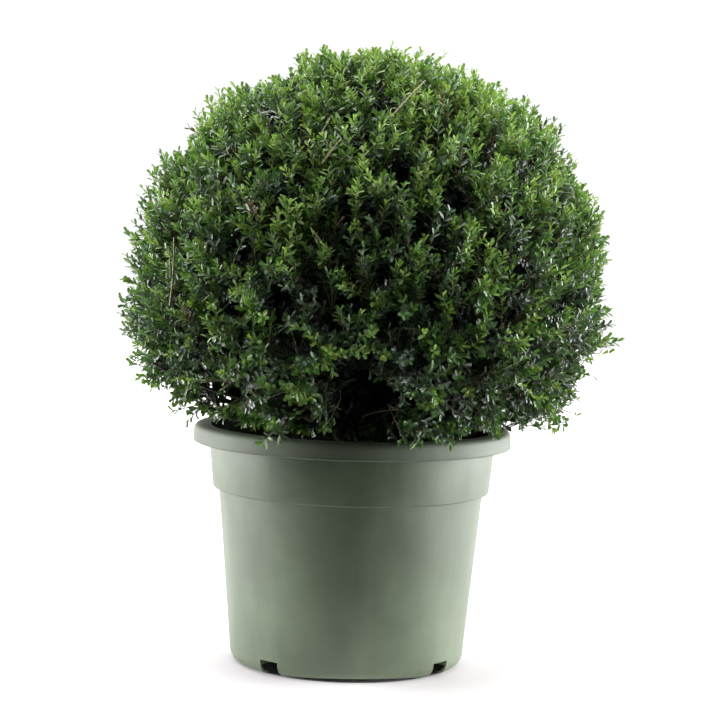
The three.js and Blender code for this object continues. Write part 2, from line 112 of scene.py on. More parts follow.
# Old low boughs that show against the light: where they start and end, and their radius
LOW_LIMBS = {
    "low left": ((-0.165, 0.410, -0.12), (-0.318, 0.464, -0.14), 0.0034),
    "low left, under": ((-0.140, 0.406, -0.04), (-0.252, 0.396, -0.05), 0.0018),
    "low right": ((0.190, 0.362, -0.05), (0.276, 0.392, -0.06), 0.0016),
}

# Bare stems that show on the front: where they start and end, and their radius
BARE_STEMS = {
    "in the cave": ((0.086, 0.402, -0.255), (0.014, 0.389, -0.205), 0.0010),
    "left side": ((-0.294, 0.556, -0.225), (-0.290, 0.664, -0.238), 0.0018),
    "left side fork": ((-0.294, 0.600, -0.232), (-0.299, 0.650, -0.232), 0.0012),
    "upper right": ((0.044, 0.860, -0.276), (0.098, 0.921, -0.232), 0.0012),
    "upper middle": ((-0.060, 0.787, -0.328), (-0.031, 0.827, -0.312), 0.0010),
    "upper middle, high": ((-0.062, 0.835, -0.302), (-0.049, 0.860, -0.286), 0.0009),
    "middle left": ((-0.053, 0.655, -0.352), (-0.077, 0.685, -0.360), 0.0009),
    "middle right": ((0.079, 0.637, -0.346), (0.072, 0.657, -0.354), 0.0009),
}

# Where some leaves have dried: middle and half size as the front shows it
DRY_PATCH = (-0.284, 0.545, 0.022)


# Properties

def setting(kind, **limits):
    """A maker of settings of one kind, each with its name, description and default."""
    def made(name, description, default):
        return kind(name=name, description=description, default=default, **limits)
    return made


length = setting(FloatProperty, min=0.0, precision=4, unit="LENGTH")
shift = setting(FloatProperty, precision=4, unit="LENGTH")
angle = setting(FloatProperty, subtype="ANGLE")
amount = setting(FloatProperty, min=0.0)
share = setting(FloatProperty, min=0.0, max=1.0, subtype="FACTOR")
count = setting(IntProperty, min=1)
colour = setting(FloatVectorProperty, min=0.0, max=1.0, size=3, subtype="COLOR")


class HollyPotSettings(bpy.types.PropertyGroup):
    """Sizes and colours of the pot and its soil."""

    height: length("Height", "From the floor to the crest of the rim", 0.375)
    rim_radius: length("Rim radius", "Outermost radius of the rim, at its lower bead", 0.2515)
    rim_depth: length("Rim depth", "Height of the rim's outer skirt", 0.027)
    crest_radius: length("Crest radius", "Outer radius of the rim near its crest", 0.244)
    rim_round: length("Rim round", "Radius of the round along the crest", 0.006)
    bead: length("Bead", "Size of the bead along the rim's lower edge", 0.0022)
    band_top_radius: length("Band top radius", "Radius of the band under the rim", 0.2256)
    band_bottom_radius: length("Band bottom radius", "Radius of the band at its lower edge", 0.2187)
    band_bottom: length("Band bottom", "Height of the band's lower edge", 0.2754)
    band_step: length("Band step", "How far the band stands out from the body", 0.010)
    step_round: length("Step round", "Radius of the round along the band's lower edge", 0.0024)
    base_radius: length("Base radius", "Radius of the body just over the base", 0.1855)
    base_corner: length("Base corner", "Radius of the round at the base", 0.020)
    recess: length("Recess", "How far the floor's underside stands above the ground", 0.016)
    arch: length("Arch", "How far the base is arched up at the front and the back", 0.007)
    wall: length("Wall", "Thickness of the plastic wall", 0.0035)
    floor: length("Floor", "Thickness of the pot's floor", 0.005)
    notch_width: length("Notch width", "Width of a drainage notch", 0.0348)
    notch_depth: length("Notch depth", "How far a drainage notch reaches in", 0.060)
    notch_height: length("Notch height", "Height of a drainage notch", 0.0240)
    first_notch: angle("First notch", "Turn of the first notch from the front", math.radians(-39.5))
    second_notch: angle("Second notch", "Turn of the second notch from the front", math.radians(52.0))
    plastic: colour("Plastic", "Base colour of the plastic", (0.0620, 0.0890, 0.0495))
    # The smudge colour also paints light low on the body
    smudge_and_lit_plastic: colour("Smudge", "Colour of the pale smudges on the plastic", (0.190, 0.240, 0.155))
    # Paler rim colour, partly dust and partly painted light from above
    rim_dust_and_painted_light: colour("Rim dust", "Colour of the dust on the rim", (0.114, 0.132, 0.098))
    soil_below: length("Soil below crest", "How far the soil's edge lies below the crest", 0.036)
    soil_mound: length("Soil mound", "How much higher the soil is at the trunk", 0.009)
    soil_dark: colour("Soil", "Base colour of the moist soil", (0.011, 0.0095, 0.008))
    soil_light: colour("Soil crumbs", "Colour of the dry crumbs", (0.034, 0.028, 0.022))


class HollyWoodSettings(bpy.types.PropertyGroup):
    """Sizes and colours of the trunk, the boughs and the twigs."""

    trunk_height: length("Trunk height", "From the soil to the fork", 0.050)
    trunk_radius: length("Trunk radius", "Radius of the trunk over its flare", 0.021)
    trunk_tip_radius: length("Trunk tip radius", "Radius of the trunk at its fork", 0.017)
    lean_x: shift("Lean right", "Lean of the trunk to the right", 0.007)
    lean_y: shift("Lean back", "Lean of the trunk to the back", -0.005)
    flare: share("Root flare", "How much wider the trunk is at the soil", 0.75)
    high_boughs: count("High boughs", "Boughs that rise into the ball", 5)
    low_boughs: count("Low boughs", "Boughs that carry the skirts", 7)
    high_radius: length("High bough radius", "Radius of a rising bough at the trunk", 0.009)
    low_radius: length("Low bough radius", "Radius of a low bough at the trunk", 0.0076)
    low_reach: length("Low bough reach", "How far a low bough's bare part reaches", 0.150)
    low_rise: length("Low bough rise", "How far a low bough rises", 0.031)
    high_reach: length("High bough reach", "How far a rising bough leans out", 0.108)
    high_rise: length("High bough rise", "How far a rising bough climbs", 0.064)
    bark: colour("Bark", "Base colour of the bark", (0.035, 0.028, 0.022))
    bark_ridge: colour("Bark ridges", "Colour of the bark's ridges", (0.095, 0.08, 0.062))
    old_twig: colour("Old twigs", "Base colour of the inner twigs", (0.045, 0.034, 0.024))
    new_twig: colour("Shoots", "Base colour of the leafy shoots", (0.22, 0.19, 0.095))


class HollyCrownSettings(bpy.types.PropertyGroup):
    """The clipped crown, its growth and its leaves."""

    seed: count("Seed", "Seed of the growth", 20417)
    centre_x: length("Centre right", "How far right of the pot's axis the crown stands", 0.018)
    centre_z: length("Centre height", "Height of the crown's widest level", 0.580)
    radius: length("Radius", "Radius of the crown at its widest level", 0.388)
    top: length("Top", "Height of the crown over its widest level", 0.399)
    drop: length("Drop", "Depth of the crown under its widest level", 0.216)
    drop_power: amount("Drop power", "How square the underside is", 2.9)
    limbs: count("Limbs", "Forks inside the ball", 48)
    branchlets: count("Branchlets", "Branchlets that grow from the forks", 900)
    twigs: count("Twigs", "Twigs that grow from the branchlets", 2700)
    shoots: count("Shoots", "Leafy shoots that grow from the twigs", 11400)
    leaves: count("Leaves", "Leaves on a shoot", 13)
    high_pockets: share("High pockets", "Part of the surface left open between the sprays at the top", 0.36)
    low_pockets: share("Low pockets", "Part of the surface left open between the sprays at the bottom", 0.44)
    leaf_length: length("Leaf length", "Length of a full leaf", 0.0132)
    leaf_width: length("Leaf width", "Width of a full leaf", 0.0056)
    twig_leaf: amount("Twig leaf", "Size of a twig's leaf to a shoot's leaf", 1.25)
    core_leaf: amount("Core leaf", "Size of a branchlet's leaf to a shoot's leaf", 2.5)
    leaf_fold: angle("Leaf fold", "How far each half of a leaf is folded up", math.radians(18.0))
    tints: count("Tints", "Tints that the leaves are dealt into", 10)
    # The deep colour also stands for painted shade on the leaves inside the crown
    deep: colour("Deep", "Colour of the oldest, shaded leaves", (0.020, 0.033, 0.023))
    mid: colour("Mid", "Colour of most leaves", (0.051, 0.099, 0.053))
    fresh: colour("Fresh", "Colour of the outer leaves", (0.104, 0.213, 0.042))
    young: colour("Young", "Colour of the youngest tips", (0.282, 0.385, 0.122))
    dry: colour("Dry", "Colour of a few dry leaves", (0.105, 0.078, 0.045))


class HollyStageSettings(bpy.types.PropertyGroup):
    """The floor, the studio light and the camera."""

    floor: colour("Floor", "Base colour of the floor", (0.660, 0.631, 0.651))
    # Painted light on the floor in front of the pot, over its shadow
    floor_painted_light: colour("Floor near", "Colour of the floor in front of the pot", (0.820, 0.800, 0.810))
    floor_front: length("Floor front", "How far the floor reaches in front of the pot's axis", 0.34)
    dim: amount("Dim", "Light from the dim front of the studio", 0.102)
    sides: amount("Sides", "Light from the bright panels at the sides", 21.4)
    back: amount("Back", "Light from the back of the studio", 1.3)
    above: amount("Above", "Light from above", 14.2)
    backdrop: amount("Backdrop", "Brightness of the backdrop that the camera sees", 1.05)
    camera_distance: length("Camera distance", "How far in front of the axis the camera stands", 3.2)
    camera_height: length("Camera height", "Height of the camera", 0.7165)
    camera_pitch: angle("Pitch", "How far the camera looks down", 0.0741)
    camera_yaw: angle("Yaw", "How far the camera turns right", 0.00267)
    camera_roll: angle("Roll", "How far the camera is tilted", 0.030)
    focal_pixels: amount("Focal length", "Focal length in pixels of the frame", 2028.8)


# Shader maths

class Field:
    """A number that varies over a surface, for use in expressions."""

    def __init__(self, finish, socket):
        self.finish = finish
        self.socket = socket

    def maths(self, operation, first, second):
        made = self.finish.node("ShaderNodeMath", {"operation": operation}, {0: first, 1: second})
        return Field(self.finish, made.outputs[0])

    def __add__(self, other):
        return self.maths("ADD", self, other)

    def __radd__(self, other):
        return self.maths("ADD", other, self)

    def __sub__(self, other):
        return self.maths("SUBTRACT", self, other)

    def __rsub__(self, other):
        return self.maths("SUBTRACT", other, self)

    def __mul__(self, other):
        return self.maths("MULTIPLY", self, other)

    def __rmul__(self, other):
        return self.maths("MULTIPLY", other, self)

    def __pow__(self, other):
        return self.maths("POWER", self, other)

    def over(self, other):
        return self.maths("GREATER_THAN", self, other)

    def size(self):
        return self.maths("ABSOLUTE", self, 0.0)

    def clamped(self):
        made = self.finish.node("ShaderNodeMath", {"operation": "ADD", "use_clamp": True}, {0: self, 1: 0.0})
        return Field(self.finish, made.outputs[0])


class Finish:
    """A node material, or the node tree of the studio's surround."""

    def __init__(self, owner, tree):
        self.owner = owner
        self.tree = tree
        self.tree.nodes.clear()

    @classmethod
    def material(cls, name):
        owner = bpy.data.materials.new(name)
        owner.use_nodes = True
        return cls(owner, owner.node_tree)

    def node(self, kind, settings=None, sockets=None):
        made = self.tree.nodes.new(kind)
        for key, value in (settings or {}).items():
            if key == "stops":
                self.set_stops(made.color_ramp, value)
            else:
                setattr(made, key, value)
        for key, value in (sockets or {}).items():
            self.feed(made.inputs[key], value)
        return made

    def feed(self, socket, value):
        source = value.socket if isinstance(value, Field) else value
        if isinstance(source, bpy.types.NodeSocket):
            self.tree.links.new(source, socket)
        elif socket.type == "RGBA" and len(source) == 3:
            socket.default_value = (*source, 1.0)
        else:
            socket.default_value = source

    def set_stops(self, ramp, stops):
        while len(ramp.elements) < len(stops):
            ramp.elements.new(1.0)
        for element, (position, value) in zip(ramp.elements, stops):
            element.position = position
            element.color = (value, value, value, 1.0)

    def place(self, scale=(1.0, 1.0, 1.0)):
        sockets = {"Vector": self.node("ShaderNodeTexCoord").outputs["Object"], "Scale": scale}
        return self.node("ShaderNodeMapping", None, sockets).outputs[0]

    def split(self, vector):
        axes = self.node("ShaderNodeSeparateXYZ", None, {0: vector}).outputs
        return [Field(self, axis) for axis in axes]

    def axes(self):
        """Right, back and up on the piece, and the distance from the pot's axis."""
        right, back, high = self.split(self.place())
        return right, back, high, (right * right + back * back) ** 0.5

    def noise(self, scale, detail, roughness=0.5, stretch=(1.0, 1.0, 1.0)):
        sockets = {"Vector": self.place(stretch), "Scale": scale, "Detail": detail, "Roughness": roughness}
        return Field(self, self.node("ShaderNodeTexNoise", None, sockets).outputs[0])

    def ramp(self, field, stops):
        made = self.node("ShaderNodeValToRGB", {"stops": stops}, {"Fac": field})
        return Field(self, self.node("ShaderNodeRGBToBW", None, {0: made.outputs[0]}).outputs[0])

    def blend(self, factor, first, second):
        made = self.node("ShaderNodeMix", {"data_type": "RGBA"}, {0: factor, 6: first, 7: second})
        return made.outputs[2]

    def bump(self, height, strength, distance):
        sockets = {"Height": height, "Strength": strength, "Distance": distance}
        return self.node("ShaderNodeBump", None, sockets).outputs[0]

    def output(self, shader):
        self.node("ShaderNodeOutputMaterial", None, {"Surface": shader.outputs[0]})
        return self.owner

    def surface(self, sockets):
        return self.output(self.node("ShaderNodeBsdfPrincipled", None, sockets))

    def leaf_surface(self, sockets, glow, part):
        upper = self.node("ShaderNodeBsdfPrincipled", None, sockets)
        through = self.node("ShaderNodeBsdfTranslucent", None, {"Color": glow})
        mixed = {0: part, 1: upper.outputs[0], 2: through.outputs[0]}
        return self.output(self.node("ShaderNodeMixShader", None, mixed))


def plastic_finish(pot):
    """Satin moulded plastic with cloudy smudges, painted light low on the body, a rim with dust and painted
    light, and an inner wall painted dark as shade.
    """
    finish = Finish.material("sage_plastic")
    right, back, high, reach = finish.axes()
    cloud = finish.ramp(finish.noise(7.0, 5.0, 0.55), [(0.44, 0.0), (0.68, 1.0)])
    streak = finish.ramp(finish.noise(10.0, 4.0, 0.6, (1.0, 1.0, 0.22)), [(0.48, 0.0), (0.8, 1.0)])
    grain = finish.noise(900.0, 2.0)

    # The inner wall, painted soil-dark as shade, the rim, and how low on the body a place is, for painted
    # light
    skirt = pot.height - pot.rim_depth
    slope = (pot.band_top_radius - pot.band_bottom_radius) / (pot.height - pot.band_bottom)
    middle = (high - pot.band_bottom) * slope + (pot.band_bottom_radius - pot.wall * 0.5)
    # Painted shade: the inner wall above the band takes the soil's dark colour
    inside = middle.over(reach) * high.over(pot.band_bottom + 0.002)
    rim = high.over(skirt) * reach.over(pot.band_top_radius + 0.001)
    low = (1.0 - high * (1.0 / skirt)).clamped()

    # A broad pale smear on the front, left of its middle
    smear_right, smear_height = -0.064, 0.165
    aside = (right - smear_right) * 13.0
    above = (high - smear_height) * 7.5
    front = ((0.0 - back) * 20.0).clamped()
    smear = (1.0 - aside * aside - above * above).clamped() * front

    # Painted light: the plastic is paler towards the bottom, where the floor's light falls, and darker under
    # the rim
    smudge_and_painted_light = cloud * 0.40 + streak * 0.3 + low * 0.48 + smear * 0.5 + 0.09
    tone = finish.blend(smudge_and_painted_light, pot.plastic, pot.smudge_and_lit_plastic)
    # Painted light: the rim is paler, partly from dust and partly as light from above
    tone = finish.blend(rim * (0.46 + cloud * 0.3), tone, pot.rim_dust_and_painted_light)
    return finish.surface({
        # Painted shade: the inner wall is as dark as the soil
        "Base Color": finish.blend(inside, tone, pot.soil_dark),
        "Roughness": 0.46 + cloud * 0.10 - streak * 0.05 + rim * 0.16 + inside * 0.45,
        "Specular IOR Level": 0.60,
        "Normal": finish.bump(grain, 0.12, 0.0006),
    })


def soil_finish(pot):
    """Dark moist potting mix with paler crumbs."""
    finish = Finish.material("potting_soil")
    crumbs = finish.ramp(finish.noise(160.0, 4.0, 0.65), [(0.5, 0.0), (0.72, 1.0)])
    return finish.surface({
        "Base Color": finish.blend(crumbs, pot.soil_dark, pot.soil_light),
        "Roughness": 0.95 - crumbs * 0.1,
        "Specular IOR Level": 0.08,
        "Normal": finish.bump(finish.noise(320.0, 5.0, 0.7), 0.8, 0.003),
    })


def bark_finish(wood):
    """Grey-brown bark with fine ridges along the limbs."""
    finish = Finish.material("holly_bark")
    ridges = finish.noise(130.0, 6.0, 0.65, (1.0, 1.0, 0.35))
    pale = finish.ramp(ridges, [(0.45, 0.0), (0.7, 1.0)])
    return finish.surface({
        "Base Color": finish.blend(pale, wood.bark, wood.bark_ridge),
        "Roughness": 0.9 - pale * 0.12,
        "Normal": finish.bump(ridges, 0.7, 0.002),
    })


def floor_finish(stage, pot):
    """Matt floor paint with painted light just in front of the pot, over the pot's shadow."""
    finish = Finish.material("floor_paint")
    right, back, _, reach = finish.axes()
    # Painted light over the pot's shadow in front of it
    painted_light_front = ((reach - pot.base_radius) * 12.0).clamped() * ((0.0 - back) * 6.0 - 0.3).clamped()

    # Painted light: a faint glow round the front and the right of the base, which keeps its shadow light
    facing = ((0.0 - back) * reach ** -1.0).clamped()
    aside = (right * reach ** -1.0).clamped()
    glow = facing * 0.30 + facing ** 10.0 * 0.36 + aside ** 0.5 * 0.17
    beyond = reach - (pot.base_radius - pot.base_corner)
    begins = (beyond * 150.0).clamped()
    fades = (1.12 - beyond * 5.0).clamped()
    return finish.surface({
        "Base Color": finish.blend(painted_light_front, stage.floor, stage.floor_painted_light),
        "Roughness": 0.9,
        "Specular IOR Level": 0.1,
        "Emission Color": finish.blend(glow * begins * fades, (0.0, 0.0, 0.0), (1.0, 0.98, 0.99)),
        "Emission Strength": 1.0,
    })


def twig_finish(name, tone):
    """Thin twigs in one plain tone."""
    finish = Finish.material(name)
    return finish.surface({"Base Color": tone, "Roughness": 0.62})


def leaf_finish(name, tone, sheen):
    """Leaves in one plain tint that let some light through, a little yellower."""
    finish = Finish.material(name)
    red, green, blue = tone
    glow = (min(1.0, red * 1.6), min(1.0, green * 1.7), blue * 0.9)
    sockets = {"Base Color": tone, "Roughness": 0.36, "IOR": 1.56, "Specular IOR Level": sheen}
    return finish.leaf_surface(sockets, glow, 0.22)


# Mesh making

def new_piece(mesh, material, nodes):
    """A finished piece in the scene that rides with the pot and stands for its nodes."""
    mesh.materials.append(material)
    piece = bpy.data.objects.new(mesh.name, mesh)
    bpy.context.scene.collection.objects.link(piece)
    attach(piece, "root")
    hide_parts(*nodes)
    return piece


def mesh_of(name, bm, sharp_degrees):
    """The mesh of a bmesh, shaded smooth up to an angle."""
    mesh = bpy.data.meshes.new(name)
    bm.to_mesh(mesh)
    bm.free()
    mesh.shade_smooth()
    mesh.set_sharp_from_angle(angle=math.radians(sharp_degrees))
    return mesh


def joined_mesh(name, points, triangles):
    """One smooth mesh from an array of points and an array of triangles."""
    mesh = bpy.data.meshes.new(name)
    mesh.vertices.add(len(points))
    mesh.vertices.foreach_set("co", np.ascontiguousarray(points, dtype=np.float32).ravel())
    mesh.loops.add(triangles.size)
    mesh.loops.foreach_set("vertex_index", np.ascontiguousarray(triangles, dtype=np.int32).ravel())
    mesh.polygons.add(len(triangles))
    mesh.polygons.foreach_set("loop_start", np.arange(0, triangles.size, 3, dtype=np.int32))
    mesh.update(calc_edges=True)
    mesh.shade_smooth()
    return mesh


def turned(profile, steps):
    """A bmesh of a profile of radius and height turned about the pot's axis."""
    bm = bmesh.new()
    corners = [bm.verts.new((radius, 0.0, height)) for radius, height in profile]
    lines = [bm.edges.new(pair) for pair in zip(corners, corners[1:])]
    bmesh.ops.spin(
        bm, geom=corners + lines, cent=(0, 0, 0), axis=(0, 0, 1), angle=math.tau, steps=steps, use_merge=True
    )
    bmesh.ops.remove_doubles(bm, verts=bm.verts, dist=1e-6)
    bmesh.ops.recalc_face_normals(bm, faces=bm.faces)
    return bm


def arc(centre, height, radius, start, end, steps):
    """Points of a profile along an arc, from one angle in degrees to another."""
    turns = [math.radians(start + (end - start) * i / steps) for i in range(steps + 1)]
    return [(centre + radius * math.cos(turn), height + radius * math.sin(turn)) for turn in turns]


def tube(bm, line, radii, sides):
    """A round limb along a line of points, closed at both ends."""
    ring = bmesh.ops.create_circle(bm, cap_ends=True, radius=1.0, segments=sides)["verts"]
    made = list(ring)
    last = Matrix.Identity(4)
    edges = list({edge for vert in ring for edge in vert.link_edges})
    for i, (point, radius) in enumerate(zip(line, radii)):
        ahead = line[min(i + 1, len(line) - 1)] - line[max(i - 1, 0)]
        turn = ahead.to_track_quat("Z", "Y").to_matrix().to_4x4()
        here = Matrix.Translation(point) @ turn @ Matrix.Diagonal((radius, radius, radius, 1.0))
        if i:
            grown = bmesh.ops.extrude_edge_only(bm, edges=edges)["geom"]
            ring = [part for part in grown if isinstance(part, bmesh.types.BMVert)]
            edges = [part for part in grown if isinstance(part, bmesh.types.BMEdge)]
            made += ring
        bmesh.ops.transform(bm, matrix=here @ last.inverted(), verts=ring)
        last = here
    bmesh.ops.contextual_create(bm, geom=edges)
    return made


def smooth_line(points, steps):
    """Points along a smooth curve through a few points."""
    ends = [points[0] * 2 - points[1], *points, points[-1] * 2 - points[-2]]
    line = []
    for before, start, end, after in zip(ends, ends[1:], ends[2:], ends[3:]):
        for i in range(steps):
            t = i / steps
            line.append(0.5 * (
                2 * start + (end - before) * t + (2 * before - 5 * start + 4 * end - after) * t ** 2
                + (3 * start - before - 3 * end + after) * t ** 3
            ))
    return line + [points[-1]]


def unit(vectors):
    """Vectors of an array made one long."""
    return vectors / np.maximum(np.linalg.norm(vectors, axis=-1, keepdims=True), 1e-9)


def square_to(ahead):
    """Two directions that are square to each of some directions and to each other."""
    across = unit(np.cross(ahead, SLANT))
    return across, np.cross(ahead, across)


def taper(start, end, number):
    """Radii that change evenly from a start to an end."""
    return [start + (end - start) * k / (number - 1) for k in range(number)]


def joined_tubes(lines, radii, sides):
    """Points and triangles of many thin tubes, from an array of lines and an array of radii."""
    number, steps = lines.shape[:2]
    ahead = unit(np.gradient(lines, axis=1))
    across, aside = square_to(ahead)
    turns = np.arange(sides) * math.tau / sides
    spokes = across[:, :, None] * np.cos(turns)[:, None] + aside[:, :, None] * np.sin(turns)[:, None]
    points = lines[:, :, None] + spokes * radii[:, :, None, None]
    step = np.arange(steps - 1)[:, None] * sides
    side = np.arange(sides)[None, :]
    after = (side + 1) % sides
    lower = np.stack([step + side, step + after, step + sides + after], axis=-1)
    upper = np.stack([step + side, step + sides + after, step + sides + side], axis=-1)
    pattern = np.concatenate([lower, upper], axis=0).reshape(-1, 3)
    triangles = pattern[None] + (np.arange(number) * steps * sides)[:, None, None]
    return points.reshape(-1, 3), triangles.reshape(-1, 3)


# Crown growth

def smooth_random(directions, scale, start):
    """A smooth random number from -1 to 1 for each direction."""
    return np.array([noise.noise(Vector(row) * scale + Vector(start)) for row in directions])


class Crown:
    """The clipped crown: its outline, and the limbs, twigs and leaves that grow inside it."""

    def __init__(self, scene):
        self.crown, self.wood = scene.holly_crown, scene.holly_wood
        self.pot, self.stage = scene.holly_pot, scene.holly_stage
        self.random = np.random.default_rng(self.crown.seed)
        self.centre = np.array([self.crown.centre_x, 0.0, self.crown.centre_z])
        self.grow()

    def outline(self, directions):
        """How far the clipped surface lies from the crown's centre, along each direction."""
        level = np.hypot(directions[:, 0], directions[:, 1]) / self.crown.radius
        rise = directions[:, 2]
        power = np.where(rise >= 0, 2.0, self.crown.drop_power)
        height = np.where(rise >= 0, rise / self.crown.top, -rise / self.crown.drop)
        return (level ** power + height ** power) ** (-1.0 / power)

    def spread(self, number, lowest, turn):
        """Directions spread evenly over the crown by the golden angle."""
        index = np.arange(number)
        rise = lowest + (1.0 - lowest) * (index + 0.5) / number
        level = np.sqrt(1.0 - rise ** 2)
        turns = index * GOLDEN_ANGLE + turn
        return np.stack([level * np.cos(turns), level * np.sin(turns), rise], axis=1)

    def jitter(self, directions, amount):
        """Directions turned a little at random."""
        return unit(directions + self.random.normal(0.0, amount, directions.shape))

    def points(self, directions, part):
        """Points at a part of the way out to the clipped surface."""
        return self.centre + directions * (self.outline(directions) * part)[:, None]

    def nearest(self, points, parents):
        """For each point, which parent is nearest."""
        tree = kdtree.KDTree(len(parents))
        for i, parent in enumerate(parents):
            tree.insert(parent, i)
        tree.balance()
        return np.array([tree.find(point)[1] for point in points])

    def cloud(self, directions):
        """A smooth random number for each direction, high where a pocket opens."""
        wide = smooth_random(directions, 12.0, (3.0, 0.0, 0.0))
        close = smooth_random(directions, 27.0, (9.0, 0.0, 0.0))
        return wide + 0.7 * close

    def lump(self, directions):
        """How far the outline stands out or falls back in each direction, from -1 to 1."""
        return smooth_random(directions, 9.0, (0.0, 5.0, 0.0))

    def hollow(self, directions):
        """How far each direction lies in a pocket: 0 on a full spray, 1 at a pocket's edge."""
        full, deepest = 0.40, 1.8
        height = (directions[:, 2] + 0.5) / 1.5
        open_part = np.interp(height, [0.0, 1.0], [self.crown.low_pockets, self.crown.high_pockets])
        ranks = np.linspace(0.0, 1.0, len(self.cloud_levels))
        rank = np.interp(self.cloud(directions), self.cloud_levels, ranks)
        return np.clip((rank - full) / (1.0 - full - open_part), 0.0, deepest)

    def seen_at(self, place):
        """The point at a depth that the front shows at a place of the plane through the pot's axis."""
        x, z, y = place
        nearer = (self.stage.camera_distance + y) / self.stage.camera_distance
        return np.array([x * nearer, y, self.stage.camera_height + (z - self.stage.camera_height) * nearer])

    def as_seen(self, points):
        """Where the front shows each point, right and up in the plane through the pot's axis."""
        farther = self.stage.camera_distance / (self.stage.camera_distance + points[:, 1])
        up = self.stage.camera_height + (points[:, 2] - self.stage.camera_height) * farther
        return points[:, 0] * farther, up

    def floor_of(self, points):
        """The lowest height at which leaves may hang, at each point."""
        pot = self.pot
        soil_gap, rim_gap, side_gap, wall_gap = 0.006, 0.004, 0.006, 0.015
        reach = np.hypot(points[:, 0], points[:, 1])
        over_soil = pot.height - pot.soil_below + pot.soil_mound + soil_gap
        over_rim = np.where(reach > pot.rim_radius + side_gap, 0.0, pot.height + rim_gap)
        return np.where(reach < pot.band_bottom_radius - wall_gap, over_soil, over_rim)

    def over_pot(self, points):
        """Which points lie above the soil and outside the pot's wall and rim."""
        return points[:, 2] > self.floor_of(points)

    def clear(self, points):
        """Which points lie outside the pot and outside the crown's openings, whose edges are ragged."""
        kept = self.over_pot(points)
        across, height = self.as_seen(points)
        wave = np.sin(across * 170.0) * np.sin(height * 130.0 + across * 60.0)
        for x, z, half_x, half_z, back, taken in OPENINGS.values():
            edge = 1.0 + 0.4 * wave + self.random.normal(0.0, 0.2, len(points))
            inside = ((across - x) / half_x) ** 2 + ((height - z) / half_z) ** 2 < edge
            kept &= ~(inside & (points[:, 1] < back) & (self.random.random(len(points)) < taken))
        return kept

    def bend(self, starts, ends, leads, steps):
        """Curved lines from starts to ends that set out along leads."""
        reach = np.linalg.norm(ends - starts, axis=1, keepdims=True)
        middle = starts * 0.5 + ends * 0.5 + leads * reach * 0.16
        t = np.linspace(0.0, 1.0, steps)[None, :, None]
        return (1 - t) ** 2 * starts[:, None] + 2 * t * (1 - t) * middle[:, None] + t ** 2 * ends[:, None]

    def bough(self, foot, turn, reach, rise, places, lift=0.0):
        """Points of a bough from its foot, at places out and up, with its outer part lifted."""
        line = [foot]
        for out, up in places:
            level = reach * out
            height = foot.z + rise * up + (lift if out > 0.5 else 0.0)
            line.append(Vector((self.centre[0] + level * math.sin(turn), -level * math.cos(turn), height)))
        return line

    def high_line(self, index):
        """The middle line of a bough that rises into the ball."""
        wood = self.wood
        foot = trunk_point(self.pot, wood, 0.74)
        turn = index / wood.high_boughs * math.tau + 0.35
        places = [(0.43, 0.19), (0.78, 0.44), (1.0, 1.0), (1.25, 1.9)]
        return self.bough(foot, turn, wood.high_reach, wood.high_rise, places)

    def low_line(self, index):
        """The middle line of a low bough and the skirt's stem that goes on from it."""
        wood = self.wood
        foot = trunk_point(self.pot, wood, 0.36)
        turn = (index + 0.5) / wood.low_boughs * math.tau + 0.1
        places = [(0.37, 0.3), (0.7, 0.77), (1.0, 1.0), (1.55, 1.05)]
        lift = 0.004 * math.sin(index * 2.4)
        return self.bough(foot, turn, wood.low_reach, wood.low_rise, places, lift)

    def placed_stems(self, stems, lead, thin):
        """Lines and radii of named stems that set out along a lead and thin out to their tips."""
        steps = 8
        starts, ends = (np.array([self.seen_at(stem[k]) for stem in stems.values()]) for k in range(2))
        radii = np.array([radius for _, _, radius in stems.values()])
        lines = self.bend(starts, ends, np.array(lead), steps)
        return lines, np.outer(radii, np.linspace(1.0, thin, steps))

    def grow(self):
        """Grows each tier from the one inside it: forks, branchlets, twigs and shoots."""
        crown = self.crown
        sample = self.cloud(self.spread(3000, LOWEST, 0.0))
        self.cloud_levels = np.quantile(sample, np.linspace(0.0, 1.0, 33))

        self.forks = self.points(self.spread(crown.limbs, -0.25, crown.seed), FORK_REACH)
        skirts = [smooth_line(self.low_line(i)[-2:], 6) for i in range(self.wood.low_boughs)]
        low_forks = np.array([tuple(point) for line in skirts for point in line[1:]])
        stations = np.concatenate([self.forks, low_forks])

        heads = self.jitter(self.spread(crown.branchlets, LOWEST, 1.7), 0.03)
        branchlets = self.points(heads, BRANCHLET_REACH + 0.05 * self.random.random(len(heads)))
        kept = self.clear(branchlets)
        branchlets, heads = branchlets[kept], heads[kept]
        parents = stations[self.nearest(branchlets, stations)]
        self.branchlet_lines = self.bend(parents, branchlets, heads, 6)

        heads = self.jitter(self.spread(crown.twigs, LOWEST, 0.4), 0.012)
        reach = TWIG_REACH - 0.09 * self.hollow(heads) + self.random.normal(0.0, 0.015, len(heads))
        twigs = self.points(heads, reach)
        kept = self.clear(twigs)
        twigs, heads = twigs[kept], heads[kept]
        lines = self.bend(branchlets[self.nearest(twigs, branchlets)], twigs, heads, 4)
        self.twig_lines = lines[self.clear(lines[:, 2])]
        self.grow_shoots(twigs)
        self.grow_sprays()

    def grow_shoots(self, twigs):
        """Grows the leafy shoots from the twigs' tips out to the clipped surface."""
        crown, draw = self.crown, self.random
        heads = self.jitter(self.spread(crown.shoots, LOWEST, 2.9), 0.010)
        number = len(heads)
        hollow = self.hollow(heads)

        # Each shoot grows from a twig inside its tip and a little lower
        sag = np.clip(0.7 + heads[:, 2], 0.0, 1.0) * np.sqrt(1.0 - heads[:, 2] ** 2)
        below = self.points(heads, 0.88) - np.outer(sag, [0.0, 0.0, 0.034])
        below = below + draw.normal(0.0, 0.013, below.shape)
        parent = self.nearest(below, twigs)

